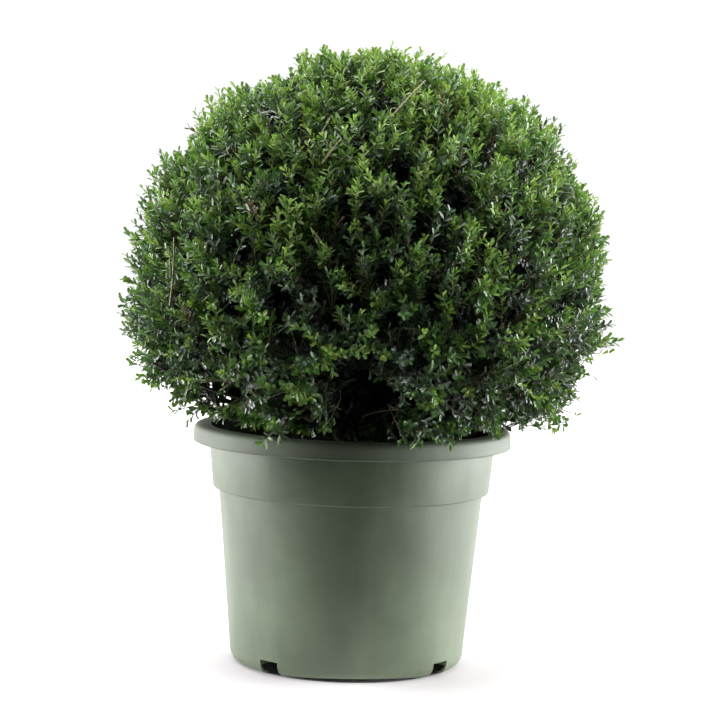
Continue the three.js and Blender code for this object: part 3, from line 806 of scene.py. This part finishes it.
        # Tips fall back in pockets, twig by twig and one by one, and a few stray out
        recess = 0.080 * draw.random(len(twigs))[parent] ** 1.4
        ragged = 0.085 * draw.random(number) ** 1.4
        stray = np.where(draw.random(number) < 0.04, draw.uniform(0.008, 0.036, number), 0.0)
        reach = SHOOT_REACH + 0.03 * self.lump(heads) - 0.068 * hollow - recess - ragged + stray
        tips = self.points(heads, reach)
        tips[:, 2] = np.maximum(tips[:, 2], self.floor_of(tips) + 0.003)
        lead = unit(heads - np.array([0.0, 0.0, 0.35]) + draw.normal(0.0, 0.45, heads.shape))
        lines = self.bend(twigs[parent], tips, lead, 3)

        # Some low shoots and those deep in pockets have no leaves, and few of them are kept
        height = (tips[:, 2] - self.centre[2] + crown.drop) / (crown.drop + crown.top)
        bare = 0.22 * np.clip(1.0 - 1.6 * height, 0.0, 1.0)
        free = self.clear(tips) & self.clear(lines[:, 1])
        full = (draw.random(number) > bare) & (hollow + draw.normal(0.0, 0.10, number) < 1.0)
        self.bare_lines = lines[free & ~full & (draw.random(number) < 0.2)]

        # Leaves are younger high up and denser there, and older in the pockets; the paler tints high up are
        # partly painted light from above, and the darker ones in the pockets partly painted shade
        kept = free & full
        tone = draw.normal(0.0, 0.17, number) + draw.normal(0.0, 0.10, len(twigs))[parent]
        age = 0.31 + 0.40 * height - 0.16 * hollow + tone
        self.shoot_lines = lines[kept]
        self.shoot_age = age[kept]
        self.leafy = np.interp(height[kept], [0.0, 0.4], [0.66, 1.0])

    def grow_sprays(self):
        """Grows the named sprays of the front, and picks the dry shoots."""
        shoots, ages, stems = [self.shoot_lines], [self.shoot_age], [self.twig_lines]
        grown = len(self.shoot_lines)
        for start, end, number, age in SPRAYS.values():
            stem = self.bend(self.seen_at(start)[None], self.seen_at(end)[None], np.array([0.0, 0.0, 0.6]), 4)
            along = np.linspace(0.35, 0.98, number)
            knots = np.linspace(0.0, 1.0, stem.shape[1])
            roots = np.stack([np.interp(along, knots, stem[0, :, axis]) for axis in range(3)], 1)
            ahead = unit(stem[:, -1] - stem[:, 0])
            across, aside = square_to(ahead)
            turn = (np.arange(number) * GOLDEN_ANGLE)[:, None]
            lead = unit(ahead + 0.7 * (across * np.cos(turn) + aside * np.sin(turn)))
            tips = roots + lead * self.random.uniform(0.024, 0.046, (number, 1))
            shoots.append(self.bend(roots, tips, lead, 3))
            ages.append(age + self.random.normal(0.0, 0.08, number))
            stems.append(stem)
        self.twig_lines = np.concatenate(stems)
        self.shoot_lines, self.shoot_age = np.concatenate(shoots), np.concatenate(ages)
        self.placed = np.arange(len(self.shoot_lines)) >= grown
        self.leafy = np.concatenate([self.leafy, np.full(self.placed.sum(), 0.62)])

        x, z, half = DRY_PATCH
        tips = self.shoot_lines[:, -1]
        across, height = self.as_seen(tips)
        patch = (np.hypot(across - x, height - z) < half) & (tips[:, 1] < 0.0)
        self.dry = self.random.random(len(tips)) < np.where(patch, 0.35, 0.003)

    def leaves_on(self, lines, number, first):
        """Roots, headings, facings, sizes and places along the stem of the leaves on many stems."""
        draw = self.random
        total, steps = lines.shape[:2]
        along = first + (1.0 - first) * (np.arange(number) + 0.5) / number
        along = np.clip(along + draw.normal(0.0, 0.012, (total, number)), 0.02, 0.995)[..., None]

        # The root and the stem's heading, on a curve through the stem's start, middle and end
        start, end = lines[:, None, 0], lines[:, None, -1]
        middle = 0.5 * (lines[:, None, (steps - 1) // 2] + lines[:, None, steps // 2])
        knee = 2.0 * middle - 0.5 * (start + end)
        root = (1 - along) ** 2 * start + 2 * along * (1 - along) * knee + along ** 2 * end
        stem = unit((1 - along) * (knee - start) + along * (end - knee))

        # Each leaf turns on by the golden angle and leans further out low on the stem
        across, aside = square_to(stem)
        turn = np.arange(number) * GOLDEN_ANGLE + draw.random((total, 1)) * math.tau
        turn = (turn + draw.normal(0.0, 0.25, (total, number)))[..., None]
        spoke = across * np.cos(turn) + aside * np.sin(turn)
        pitch = np.radians(62.0 - 34.0 * along ** 2 + draw.normal(0.0, 12.0, along.shape))
        ahead = unit(stem * np.cos(pitch) + spoke * np.sin(pitch) + np.array([0.0, 0.0, 0.06]))
        facing = unit(stem + np.array([0.0, 0.0, 0.40]) + draw.normal(0.0, 0.25, ahead.shape))
        swell = 0.70 + 0.38 * np.sin(math.pi * (0.12 + 0.80 * along[..., 0]))
        size = swell * draw.uniform(0.82, 1.14, swell.shape)
        return root, ahead, facing, size, along[..., 0]


@lru_cache(maxsize=1)
def grown_crown():
    """The crown of this scene, grown once."""
    return Crown(bpy.context.scene)


def trunk_point(pot, wood, along):
    """A point on the trunk's middle line."""
    foot = pot.height - pot.soil_below + pot.soil_mound
    return Vector((wood.lean_x * along ** 2, wood.lean_y * along ** 2, foot + wood.trunk_height * along))


def leaf_shape(fold):
    """Points and triangles of one leaf, one long and one wide: a folded blade, widest past its middle."""
    bm = bmesh.new()
    lengthwise = Matrix.Translation((0.5, 0.0, 0.0)) @ Matrix.Rotation(-math.pi / 2, 4, "Z")
    bmesh.ops.create_circle(bm, cap_ends=True, radius=0.5, segments=6, matrix=lengthwise)
    ends = sorted(bm.verts, key=lambda vert: vert.co.x)
    bmesh.ops.connect_verts(bm, verts=[ends[0], ends[-1]])
    bmesh.ops.triangulate(bm, faces=bm.faces)
    bm.verts.index_update()
    points = np.array([tuple(vert.co) for vert in bm.verts])
    triangles = np.array([[vert.index for vert in face.verts] for face in bm.faces])
    bm.free()
    forward = points[:, 0] > 0.5
    points[:, 1] *= np.where(forward, 1.08, 0.98)
    points[:, 0] = np.interp(points[:, 0], [0.0, 0.25, 0.75, 1.0], [0.0, 0.36, 0.83, 1.0])
    points[:, 2] = np.abs(points[:, 1]) * math.tan(fold) - 0.22 * points[:, 0] ** 2
    return points, triangles


# Pieces

class HOLLY_OT_pot(bpy.types.Operator):
    """Turns the nursery pot and cuts its drainage notches"""

    bl_idname = "holly.pot"
    bl_label = "Pot"

    def profile(self, pot):
        """Radius and height along the pot, from the middle of its underside round to its inner floor."""
        skirt = pot.height - pot.rim_depth
        body_radius = pot.band_bottom_radius - pot.band_step
        ring = pot.base_radius - pot.base_corner
        under = pot.base_corner - pot.wall
        recess_turn = -math.degrees(math.asin((pot.base_corner - pot.recess) / under))
        step_inner = (body_radius + pot.step_round, pot.band_bottom - pot.step_round)
        step_outer = (pot.band_bottom_radius - pot.step_round, pot.band_bottom + pot.step_round)
        inner_floor = pot.recess + pot.floor
        channel_top = pot.height - pot.wall * 2.6
        crest = pot.band_top_radius - pot.wall + pot.rim_round
        lip = skirt + pot.bead * 2.0
        return [
            (0.0, pot.recess),
            *arc(ring, pot.base_corner, under, recess_turn, -90.0, 5),
            *arc(ring, pot.base_corner, pot.base_corner, -90.0, -5.0, 9),
            *arc(*step_inner, pot.step_round, 180.0, 110.0, 4),
            *arc(*step_outer, pot.step_round, -90.0, -4.0, 6),
            (pot.band_top_radius, skirt),
            (pot.band_top_radius, channel_top),
            (pot.crest_radius - pot.wall * 2, channel_top),
            (pot.rim_radius - pot.bead - pot.wall * 0.6, skirt),
            *arc(pot.rim_radius - pot.bead, skirt + pot.bead, pot.bead, -110.0, 36.0, 8),
            *self.roll(crest, lip, pot.rim_radius - pot.bead * 0.3 - crest, pot.height - lip),
            *arc(crest, pot.height - pot.rim_round, pot.rim_round, 100.0, 180.0, 6),
            (pot.band_bottom_radius - pot.wall, pot.band_bottom + pot.wall),
            (body_radius - pot.wall, pot.band_bottom + pot.wall * 0.5),
            (pot.base_radius - pot.wall, inner_floor + pot.wall),
            (pot.base_radius - pot.wall * 2.0, inner_floor),
            (0.0, inner_floor),
        ]

    def roll(self, crest, lip, width, height):
        """Points of the rim's outer roll, from its lip up to its crest, fuller than a circle."""
        steps, fullness = 12, 0.42
        turns = [math.radians(90.0 * i / steps) for i in range(steps + 1)]
        return [
            (crest + width * math.cos(turn) ** fullness, lip + height * math.sin(turn) ** fullness)
            for turn in turns
        ]

    def arch_base(self, pot, body):
        """Lifts the base at the front and the back, so that the pot stands on its two sides."""
        middle = (pot.first_notch + pot.second_notch) * 0.5
        for vert in body.verts:
            turn = math.atan2(vert.co.x, -vert.co.y)
            part = max(0.0, math.cos(2.0 * (turn - middle)))
            outward = min(1.0, math.hypot(vert.co.x, vert.co.y) / pot.base_radius) ** 2
            vert.co.z += pot.arch * part * outward * max(0.0, 1.0 - vert.co.z / pot.base_corner)

    def notch_cutter(self, pot):
        """Four blocks where the drainage notches are cut, two at the front and two opposite."""
        cutters = bmesh.new()
        size = Matrix.Diagonal((pot.notch_width, pot.notch_depth * 2, pot.notch_height * 2, 1.0))
        outward = Matrix.Translation((0.0, -pot.base_radius, 0.0))
        for side in (0.0, math.pi):
            for turn in (pot.first_notch, pot.second_notch):
                place = Matrix.Rotation(turn + side, 4, "Z") @ outward
                bmesh.ops.create_cube(cutters, size=1.0, matrix=place @ size)
        cutter = bpy.data.objects.new("notches", bpy.data.meshes.new("notches"))
        cutters.to_mesh(cutter.data)
        cutters.free()
        return cutter

    def execute(self, context):
        pot = context.scene.holly_pot
        body = turned(self.profile(pot), 160)
        self.arch_base(pot, body)
        shell = mesh_of("pot_shell", body, 32.0)
        piece = new_piece(shell, plastic_finish(pot), ["pot"])
        cutter = self.notch_cutter(pot)
        context.scene.collection.objects.link(cutter)
        cut = piece.modifiers.new("notches", "BOOLEAN")
        cut.operation = "DIFFERENCE"
        cut.solver = "EXACT"
        cut.object = cutter
        settled = piece.evaluated_get(context.evaluated_depsgraph_get())
        piece.data = bpy.data.meshes.new_from_object(settled)
        piece.modifiers.clear()
        bpy.data.objects.remove(cutter)
        if len(piece.data.polygons) < 1000:
            raise RuntimeError("the pot's notches were not cut")
        return {"FINISHED"}


class HOLLY_OT_soil(bpy.types.Operator):
    """Fills the pot with crumbly soil"""

    bl_idname = "holly.soil"
    bl_label = "Soil"

    def execute(self, context):
        pot = context.scene.holly_pot
        edge_height = pot.height - pot.soil_below
        wall_gap, floor_gap, notch_gap = 0.0006, 0.002, 0.004
        inset = pot.wall + wall_gap
        edge = pot.band_bottom_radius - inset
        rings = 26
        top = []
        for i in range(rings + 1):
            out = 1.0 - i / rings
            top.append((edge * out, edge_height + pot.soil_mound * (1.0 - out ** 1.6)))
        body_radius = pot.band_bottom_radius - pot.band_step
        foot_radius = pot.base_radius - pot.base_corner - 0.02
        soil_floor = pot.recess + pot.floor + floor_gap
        over_notch = pot.notch_height + notch_gap
        bm = turned([
            (0.0, soil_floor),
            (foot_radius, soil_floor),
            (foot_radius, over_notch),
            (pot.base_radius - inset, over_notch),
            (body_radius - inset, pot.band_bottom + inset * 0.5),
            (edge, pot.band_bottom + inset + 0.001),
            *top,
        ], 96)
        self.crumble(bm, edge_height, edge)
        new_piece(mesh_of("soil_bed", bm, 60.0), soil_finish(pot), ["soil"])
        return {"FINISHED"}

    def crumble(self, bm, edge_height, edge):
        """Raises crumbs on the soil's top, but not at its edge or round the trunk."""
        crumb, trunk_clear, trunk_fade = 0.0042, 0.03, 0.05
        for vert in bm.verts:
            reach = math.hypot(vert.co.x, vert.co.y)
            if vert.co.z > edge_height - 0.001 and reach < edge - 0.004:
                lump = noise.fractal(vert.co * 38.0, 0.9, 2.1, 4)
                vert.co.z += crumb * lump * min(1.0, max(0.0, (reach - trunk_clear) / trunk_fade))


class HOLLY_OT_wood(bpy.types.Operator):
    """Grows the trunk and the boughs with their bark"""

    bl_idname = "holly.wood"
    bl_label = "Trunk and boughs"

    def relief(self, verts, depth):
        """Raises ridges that run up the limbs."""
        close, along = 150.0, 45.0
        for vert in verts:
            place = Vector((vert.co.x * close, vert.co.y * close, vert.co.z * along))
            vert.co += vert.normal * depth * noise.fractal(place, 0.8, 2.0, 4)

    def grow_trunk(self, scene):
        """The trunk with its taper, its lean and the three lobes of its root flare."""
        wood = scene.holly_wood
        bm = bmesh.new()
        steps = 28
        line = [trunk_point(scene.holly_pot, wood, i / steps) for i in range(steps + 1)]
        trunk = tube(bm, line, taper(wood.trunk_radius, wood.trunk_tip_radius, len(line)), 40)
        foot = line[0].z
        for vert in trunk:
            up = (vert.co.z - foot) / wood.trunk_height
            lobes = 0.7 + 0.3 * math.cos(3.0 * math.atan2(vert.co.y, vert.co.x) + 0.8)
            swell = 1.0 + wood.flare * lobes * math.exp(-max(0.0, up) * 7.0)
            vert.co.x *= swell
            vert.co.y *= swell
        bm.normal_update()
        self.relief([vert for vert in trunk if vert.co.z > foot + 0.001], 0.0016)
        new_piece(mesh_of("trunk_bark", bm, 50.0), bark_finish(wood), ["trunk"])

    def grow_boughs(self, scene):
        """The boughs that rise into the ball, the leader among them, and the low boughs."""
        wood = scene.holly_wood
        crown = grown_crown()
        bm = bmesh.new()
        for i in range(wood.high_boughs):
            line = smooth_line(crown.high_line(i), 7)
            tube(bm, line, taper(wood.high_radius, wood.high_radius * 0.5, len(line)), 16)
        leader_radius, leader_tip, leader_rise = 0.0165, 0.0075, 0.06
        top = trunk_point(scene.holly_pot, wood, 1.0)
        knee = top + Vector((0.003, -0.001, leader_rise))
        line = smooth_line([top, knee, Vector(crown.centre) + Vector((0, 0, leader_rise))], 8)
        tube(bm, line, taper(leader_radius, leader_tip, len(line)), 20)
        for i in range(wood.low_boughs):
            line = smooth_line(crown.low_line(i), 8)
            tube(bm, line, taper(wood.low_radius, wood.low_radius * 0.38, len(line)), 14)
        bm.normal_update()
        self.relief(bm.verts, 0.0008)
        nodes = [f"bough_high_{i + 1}" for i in range(wood.high_boughs)]
        nodes += [f"bough_low_{i + 1}" for i in range(wood.low_boughs)]
        new_piece(mesh_of("boughs_bark", bm, 50.0), bark_finish(wood), nodes)

    def execute(self, context):
        self.grow_trunk(context.scene)
        self.grow_boughs(context.scene)
        return {"FINISHED"}


def foliage_nodes():
    """The solids that the twigs and leaves stand for."""
    return [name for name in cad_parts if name.startswith("foliage_")]


def twig_mesh(name, groups):
    """One mesh of groups of lines, each with its radii and its number of sides."""
    points, triangles, offset = [], [], 0
    for lines, radii, sides in groups:
        made, faces = joined_tubes(lines, np.broadcast_to(radii, lines.shape[:2]), sides)
        points.append(made)
        triangles.append(faces + offset)
        offset += len(made)
    return joined_mesh(name, np.concatenate(points), np.concatenate(triangles))


class HOLLY_OT_twigs(bpy.types.Operator):
    """Grows the limbs, branchlets and twigs inside the crown, and the stems of its shoots"""

    bl_idname = "holly.twigs"
    bl_label = "Twigs and shoots"

    def execute(self, context):
        wood = context.scene.holly_wood
        crown = grown_crown()
        heart = np.array(trunk_point(context.scene.holly_pot, wood, 1.0)) + np.array([0.004, 0.0, 0.09])
        starts = heart + (crown.forks - heart) * 0.12
        limbs = crown.bend(starts, crown.forks, np.array([0.0, 0.0, 0.8]), 9)
        inner = [
            (limbs, np.linspace(0.0048, 0.0026, 9), 7),
            (crown.branchlet_lines, np.linspace(0.0024, 0.0014, 6), 5),
            (crown.twig_lines, np.linspace(0.0014, 0.0009, 4), 4),
            (*crown.placed_stems(LOW_LIMBS, (0.0, 0.0, -0.5), 0.55), 6),
        ]
        shoots = np.concatenate([crown.shoot_lines, crown.bare_lines])
        outer = [
            (shoots, np.linspace(0.0010, 0.0005, 3), 3),
            (*crown.placed_stems(BARE_STEMS, (0.3, 0.0, 0.6), 0.6), 6),
        ]
        old, new = twig_finish("old_twig", wood.old_twig), twig_finish("new_shoot", wood.new_twig)
        new_piece(twig_mesh("inner_twigs", inner), old, foliage_nodes())
        new_piece(twig_mesh("shoot_stems", outer), new, foliage_nodes())
        return {"FINISHED"}


class HOLLY_OT_leaves(bpy.types.Operator):
    """Sets the leaves round the shoots and deals them into tints"""

    bl_idname = "holly.leaves"
    bl_label = "Leaves"

    def tint(self, crown, age):
        """The colour of leaves of an age, from deep to young."""
        stops = [crown.deep, crown.mid, crown.fresh, crown.young]
        at = age * (len(stops) - 1)
        low = min(int(at), len(stops) - 2)
        return tuple(Vector(stops[low]).lerp(Vector(stops[low + 1]), at - low))

    def of_shoots(self, values, leaves, others, total):
        """A value for each leaf: its shoot's own on the shoots, and one for all the others."""
        dealt = np.full(total, others)
        dealt[:len(values) * leaves] = np.repeat(values, leaves)
        return dealt

    def gather(self, crown, grown):
        """Roots, headings, facings, sizes and ages of all the leaves that are kept, and which are dry."""
        outer = grown.leaves_on(grown.shoot_lines, crown.leaves, 0.24)
        twig = grown.leaves_on(grown.twig_lines, 11, 0.08)
        core = grown.leaves_on(grown.branchlet_lines, 20, 0.10)
        tiers = (outer, twig, core)
        root, ahead, facing = (np.concatenate([tier[k].reshape(-1, 3) for tier in tiers]) for k in range(3))
        sizes = (outer[3], twig[3] * crown.twig_leaf, core[3] * crown.core_leaf)
        size = np.concatenate([tier.ravel() for tier in sizes])
        outer_age = grown.shoot_age[:, None] + 0.50 * (outer[4] - 0.68)
        # The inner twig and branchlet leaves take the deepest tints, partly painted shade inside the crown
        ages = (outer_age, grown.random.uniform(0.0, 0.16, twig[3].shape), np.zeros(core[3].shape))
        age = np.clip(np.concatenate([tier.ravel() for tier in ages]), 0.0, 1.0)
        dry = self.of_shoots(grown.dry, crown.leaves, False, len(root))
        placed = self.of_shoots(grown.placed, crown.leaves, False, len(root))
        leafy = self.of_shoots(grown.leafy, crown.leaves, 1.0, len(root))
        tip = root + ahead * (size * crown.leaf_length)[:, None]
        keep = grown.over_pot(tip) & grown.over_pot(root) & (placed | grown.clear(tip) & grown.clear(root))
        keep &= grown.random.random(len(root)) < leafy
        return [part[keep] for part in (root, ahead, facing, size, age, dry)]

    def execute(self, context):
        crown = context.scene.holly_crown
        root, ahead, facing, size, age, dry = self.gather(crown, grown_crown())
        aside = unit(np.cross(facing, ahead))
        normal = np.cross(ahead, aside)
        shape, pattern = leaf_shape(crown.leaf_fold)
        long = (size * crown.leaf_length)[:, None, None]
        wide = (size * crown.leaf_width)[:, None, None]
        points = (
            root[:, None] + ahead[:, None] * shape[:, 0, None] * long
            + aside[:, None] * shape[:, 1, None] * wide + normal[:, None] * shape[:, 2, None] * wide
        )

        # The leaves are dealt into tints by age, and the dry ones come last
        order = np.argsort(age + 2.0 * dry, kind="stable")
        green = len(order) - dry.sum()
        groups = np.array_split(order[:green], crown.tints)
        tones = [self.tint(crown, float(age[group].mean())) for group in groups]
        groups.append(order[green:])
        tones.append(crown.dry)
        stops = np.linspace(0.0, 1.0, len(LEAF_SHEEN))
        sheens = np.interp(np.linspace(0.0, 1.0, len(groups)), stops, LEAF_SHEEN)
        for i, (group, tone, sheen) in enumerate(zip(groups, tones, sheens), 1):
            triangles = pattern[None] + (np.arange(len(group)) * len(shape))[:, None, None]
            mesh = joined_mesh(f"leaves_{i}", points[group].reshape(-1, 3), triangles.reshape(-1, 3))
            material = leaf_finish(f"leaf_tint_{i}", tone, float(sheen))
            new_piece(mesh, material, foliage_nodes())
        return {"FINISHED"}


class HOLLY_OT_stage(bpy.types.Operator):
    """Lays the floor, sets the soft studio light and places the camera"""

    bl_idname = "holly.stage"
    bl_label = "Stage"

    def lay_floor(self, scene, stage):
        """A plain floor that ends in front of the pot and runs far back."""
        bm = bmesh.new()
        reach = 4.0
        sheet = Matrix.Translation((0.0, reach - stage.floor_front, 0.0))
        bmesh.ops.create_grid(bm, x_segments=1, y_segments=1, size=reach, matrix=sheet)
        floor = bpy.data.objects.new("studio_floor", bpy.data.meshes.new("studio_floor"))
        bm.to_mesh(floor.data)
        bm.free()
        scene.collection.objects.link(floor)
        floor.data.materials.append(floor_finish(stage, scene.holly_pot))

    def set_light(self, scene, stage):
        """Bright panels at both sides, soft light from above and behind, and a dim front."""
        scene.world = bpy.data.worlds.new("studio")
        scene.world.use_nodes = True
        surround = Finish(scene.world, scene.world.node_tree)
        seen = Field(surround, surround.node("ShaderNodeLightPath").outputs["Is Camera Ray"])
        across, back, high = surround.split(surround.node("ShaderNodeTexCoord").outputs["Generated"])
        panels = ((across.size() - 0.60) * 4.0).clamped() * (back * 2.0 + 0.75 + across * 0.06).clamped()
        beside = panels * (1.22 - high * 3.15).clamped() * (1.0 + across * 0.09)
        narrowed = 1.0 - across.size() * 0.35 - across.clamped() * 0.6
        over = high.clamped() ** 3.2 * (back * 1.1 + 0.53).clamped() * narrowed
        lit = stage.dim + beside * stage.sides + back.clamped() * stage.back + over * stage.above
        strength = seen * stage.backdrop + (1.0 - seen) * lit
        sky = surround.node("ShaderNodeBackground", None, {"Color": (1.0, 1.0, 1.0), "Strength": strength})
        surround.node("ShaderNodeOutputWorld", None, {"Surface": sky.outputs[0]})

    def place_camera(self, scene, stage):
        """A camera in front of the pot, turned down, to the right and round its own axis."""
        camera = bpy.data.cameras.new("camera")
        camera.sensor_width = SENSOR_MM
        camera.lens = stage.focal_pixels / FRAME_PIXELS * SENSOR_MM
        level, turn = stage.camera_pitch, stage.camera_yaw
        ahead = Vector((math.sin(turn) * math.cos(level), math.cos(turn) * math.cos(level), -math.sin(level)))
        right = ahead.cross(Vector((0.0, 0.0, 1.0))).normalized()
        up = right.cross(ahead)
        cosine, sine = math.cos(stage.camera_roll), math.sin(stage.camera_roll)
        rolled_right = right * cosine + up * sine
        rolled_up = up * cosine - right * sine
        eye = bpy.data.objects.new("camera", camera)
        eye.location = (0.0, -stage.camera_distance, stage.camera_height)
        eye.rotation_euler = Matrix((rolled_right, rolled_up, -ahead)).transposed().to_euler()
        scene.collection.objects.link(eye)
        scene.camera = eye

    def execute(self, context):
        scene = context.scene
        scene.view_settings.view_transform = "Standard"
        self.lay_floor(scene, scene.holly_stage)
        self.set_light(scene, scene.holly_stage)
        self.place_camera(scene, scene.holly_stage)
        return {"FINISHED"}


class HOLLY_PT_panel(bpy.types.Panel):
    """Lists the steps that build the potted holly"""

    bl_idname = "HOLLY_PT_panel"
    bl_label = "Potted holly ball"
    bl_space_type = "VIEW_3D"
    bl_region_type = "UI"
    bl_category = "Holly"

    def draw(self, context):
        for step in STEPS:
            self.layout.operator(step.bl_idname)
        for name in SETTINGS:
            group = getattr(context.scene, name)
            box = self.layout.box()
            for key in group.__annotations__:
                box.prop(group, key)


SETTINGS = {
    "holly_pot": HollyPotSettings,
    "holly_wood": HollyWoodSettings,
    "holly_crown": HollyCrownSettings,
    "holly_stage": HollyStageSettings,
}
STEPS = [HOLLY_OT_stage, HOLLY_OT_pot, HOLLY_OT_soil, HOLLY_OT_wood, HOLLY_OT_twigs, HOLLY_OT_leaves]
CLASSES = [*SETTINGS.values(), *STEPS, HOLLY_PT_panel]


def register():
    for cls in CLASSES:
        bpy.utils.register_class(cls)
    for name, group in SETTINGS.items():
        setattr(bpy.types.Scene, name, PointerProperty(type=group))


def unregister():
    for name in SETTINGS:
        delattr(bpy.types.Scene, name)
    for cls in reversed(CLASSES):
        bpy.utils.unregister_class(cls)


def main():
    """Registers the add-on and builds every piece."""
    register()
    bpy.ops.holly.stage()
    bpy.ops.holly.pot()
    bpy.ops.holly.soil()
    bpy.ops.holly.wood()
    bpy.ops.holly.twigs()
    bpy.ops.holly.leaves()


if __name__ == "__main__":
    main()
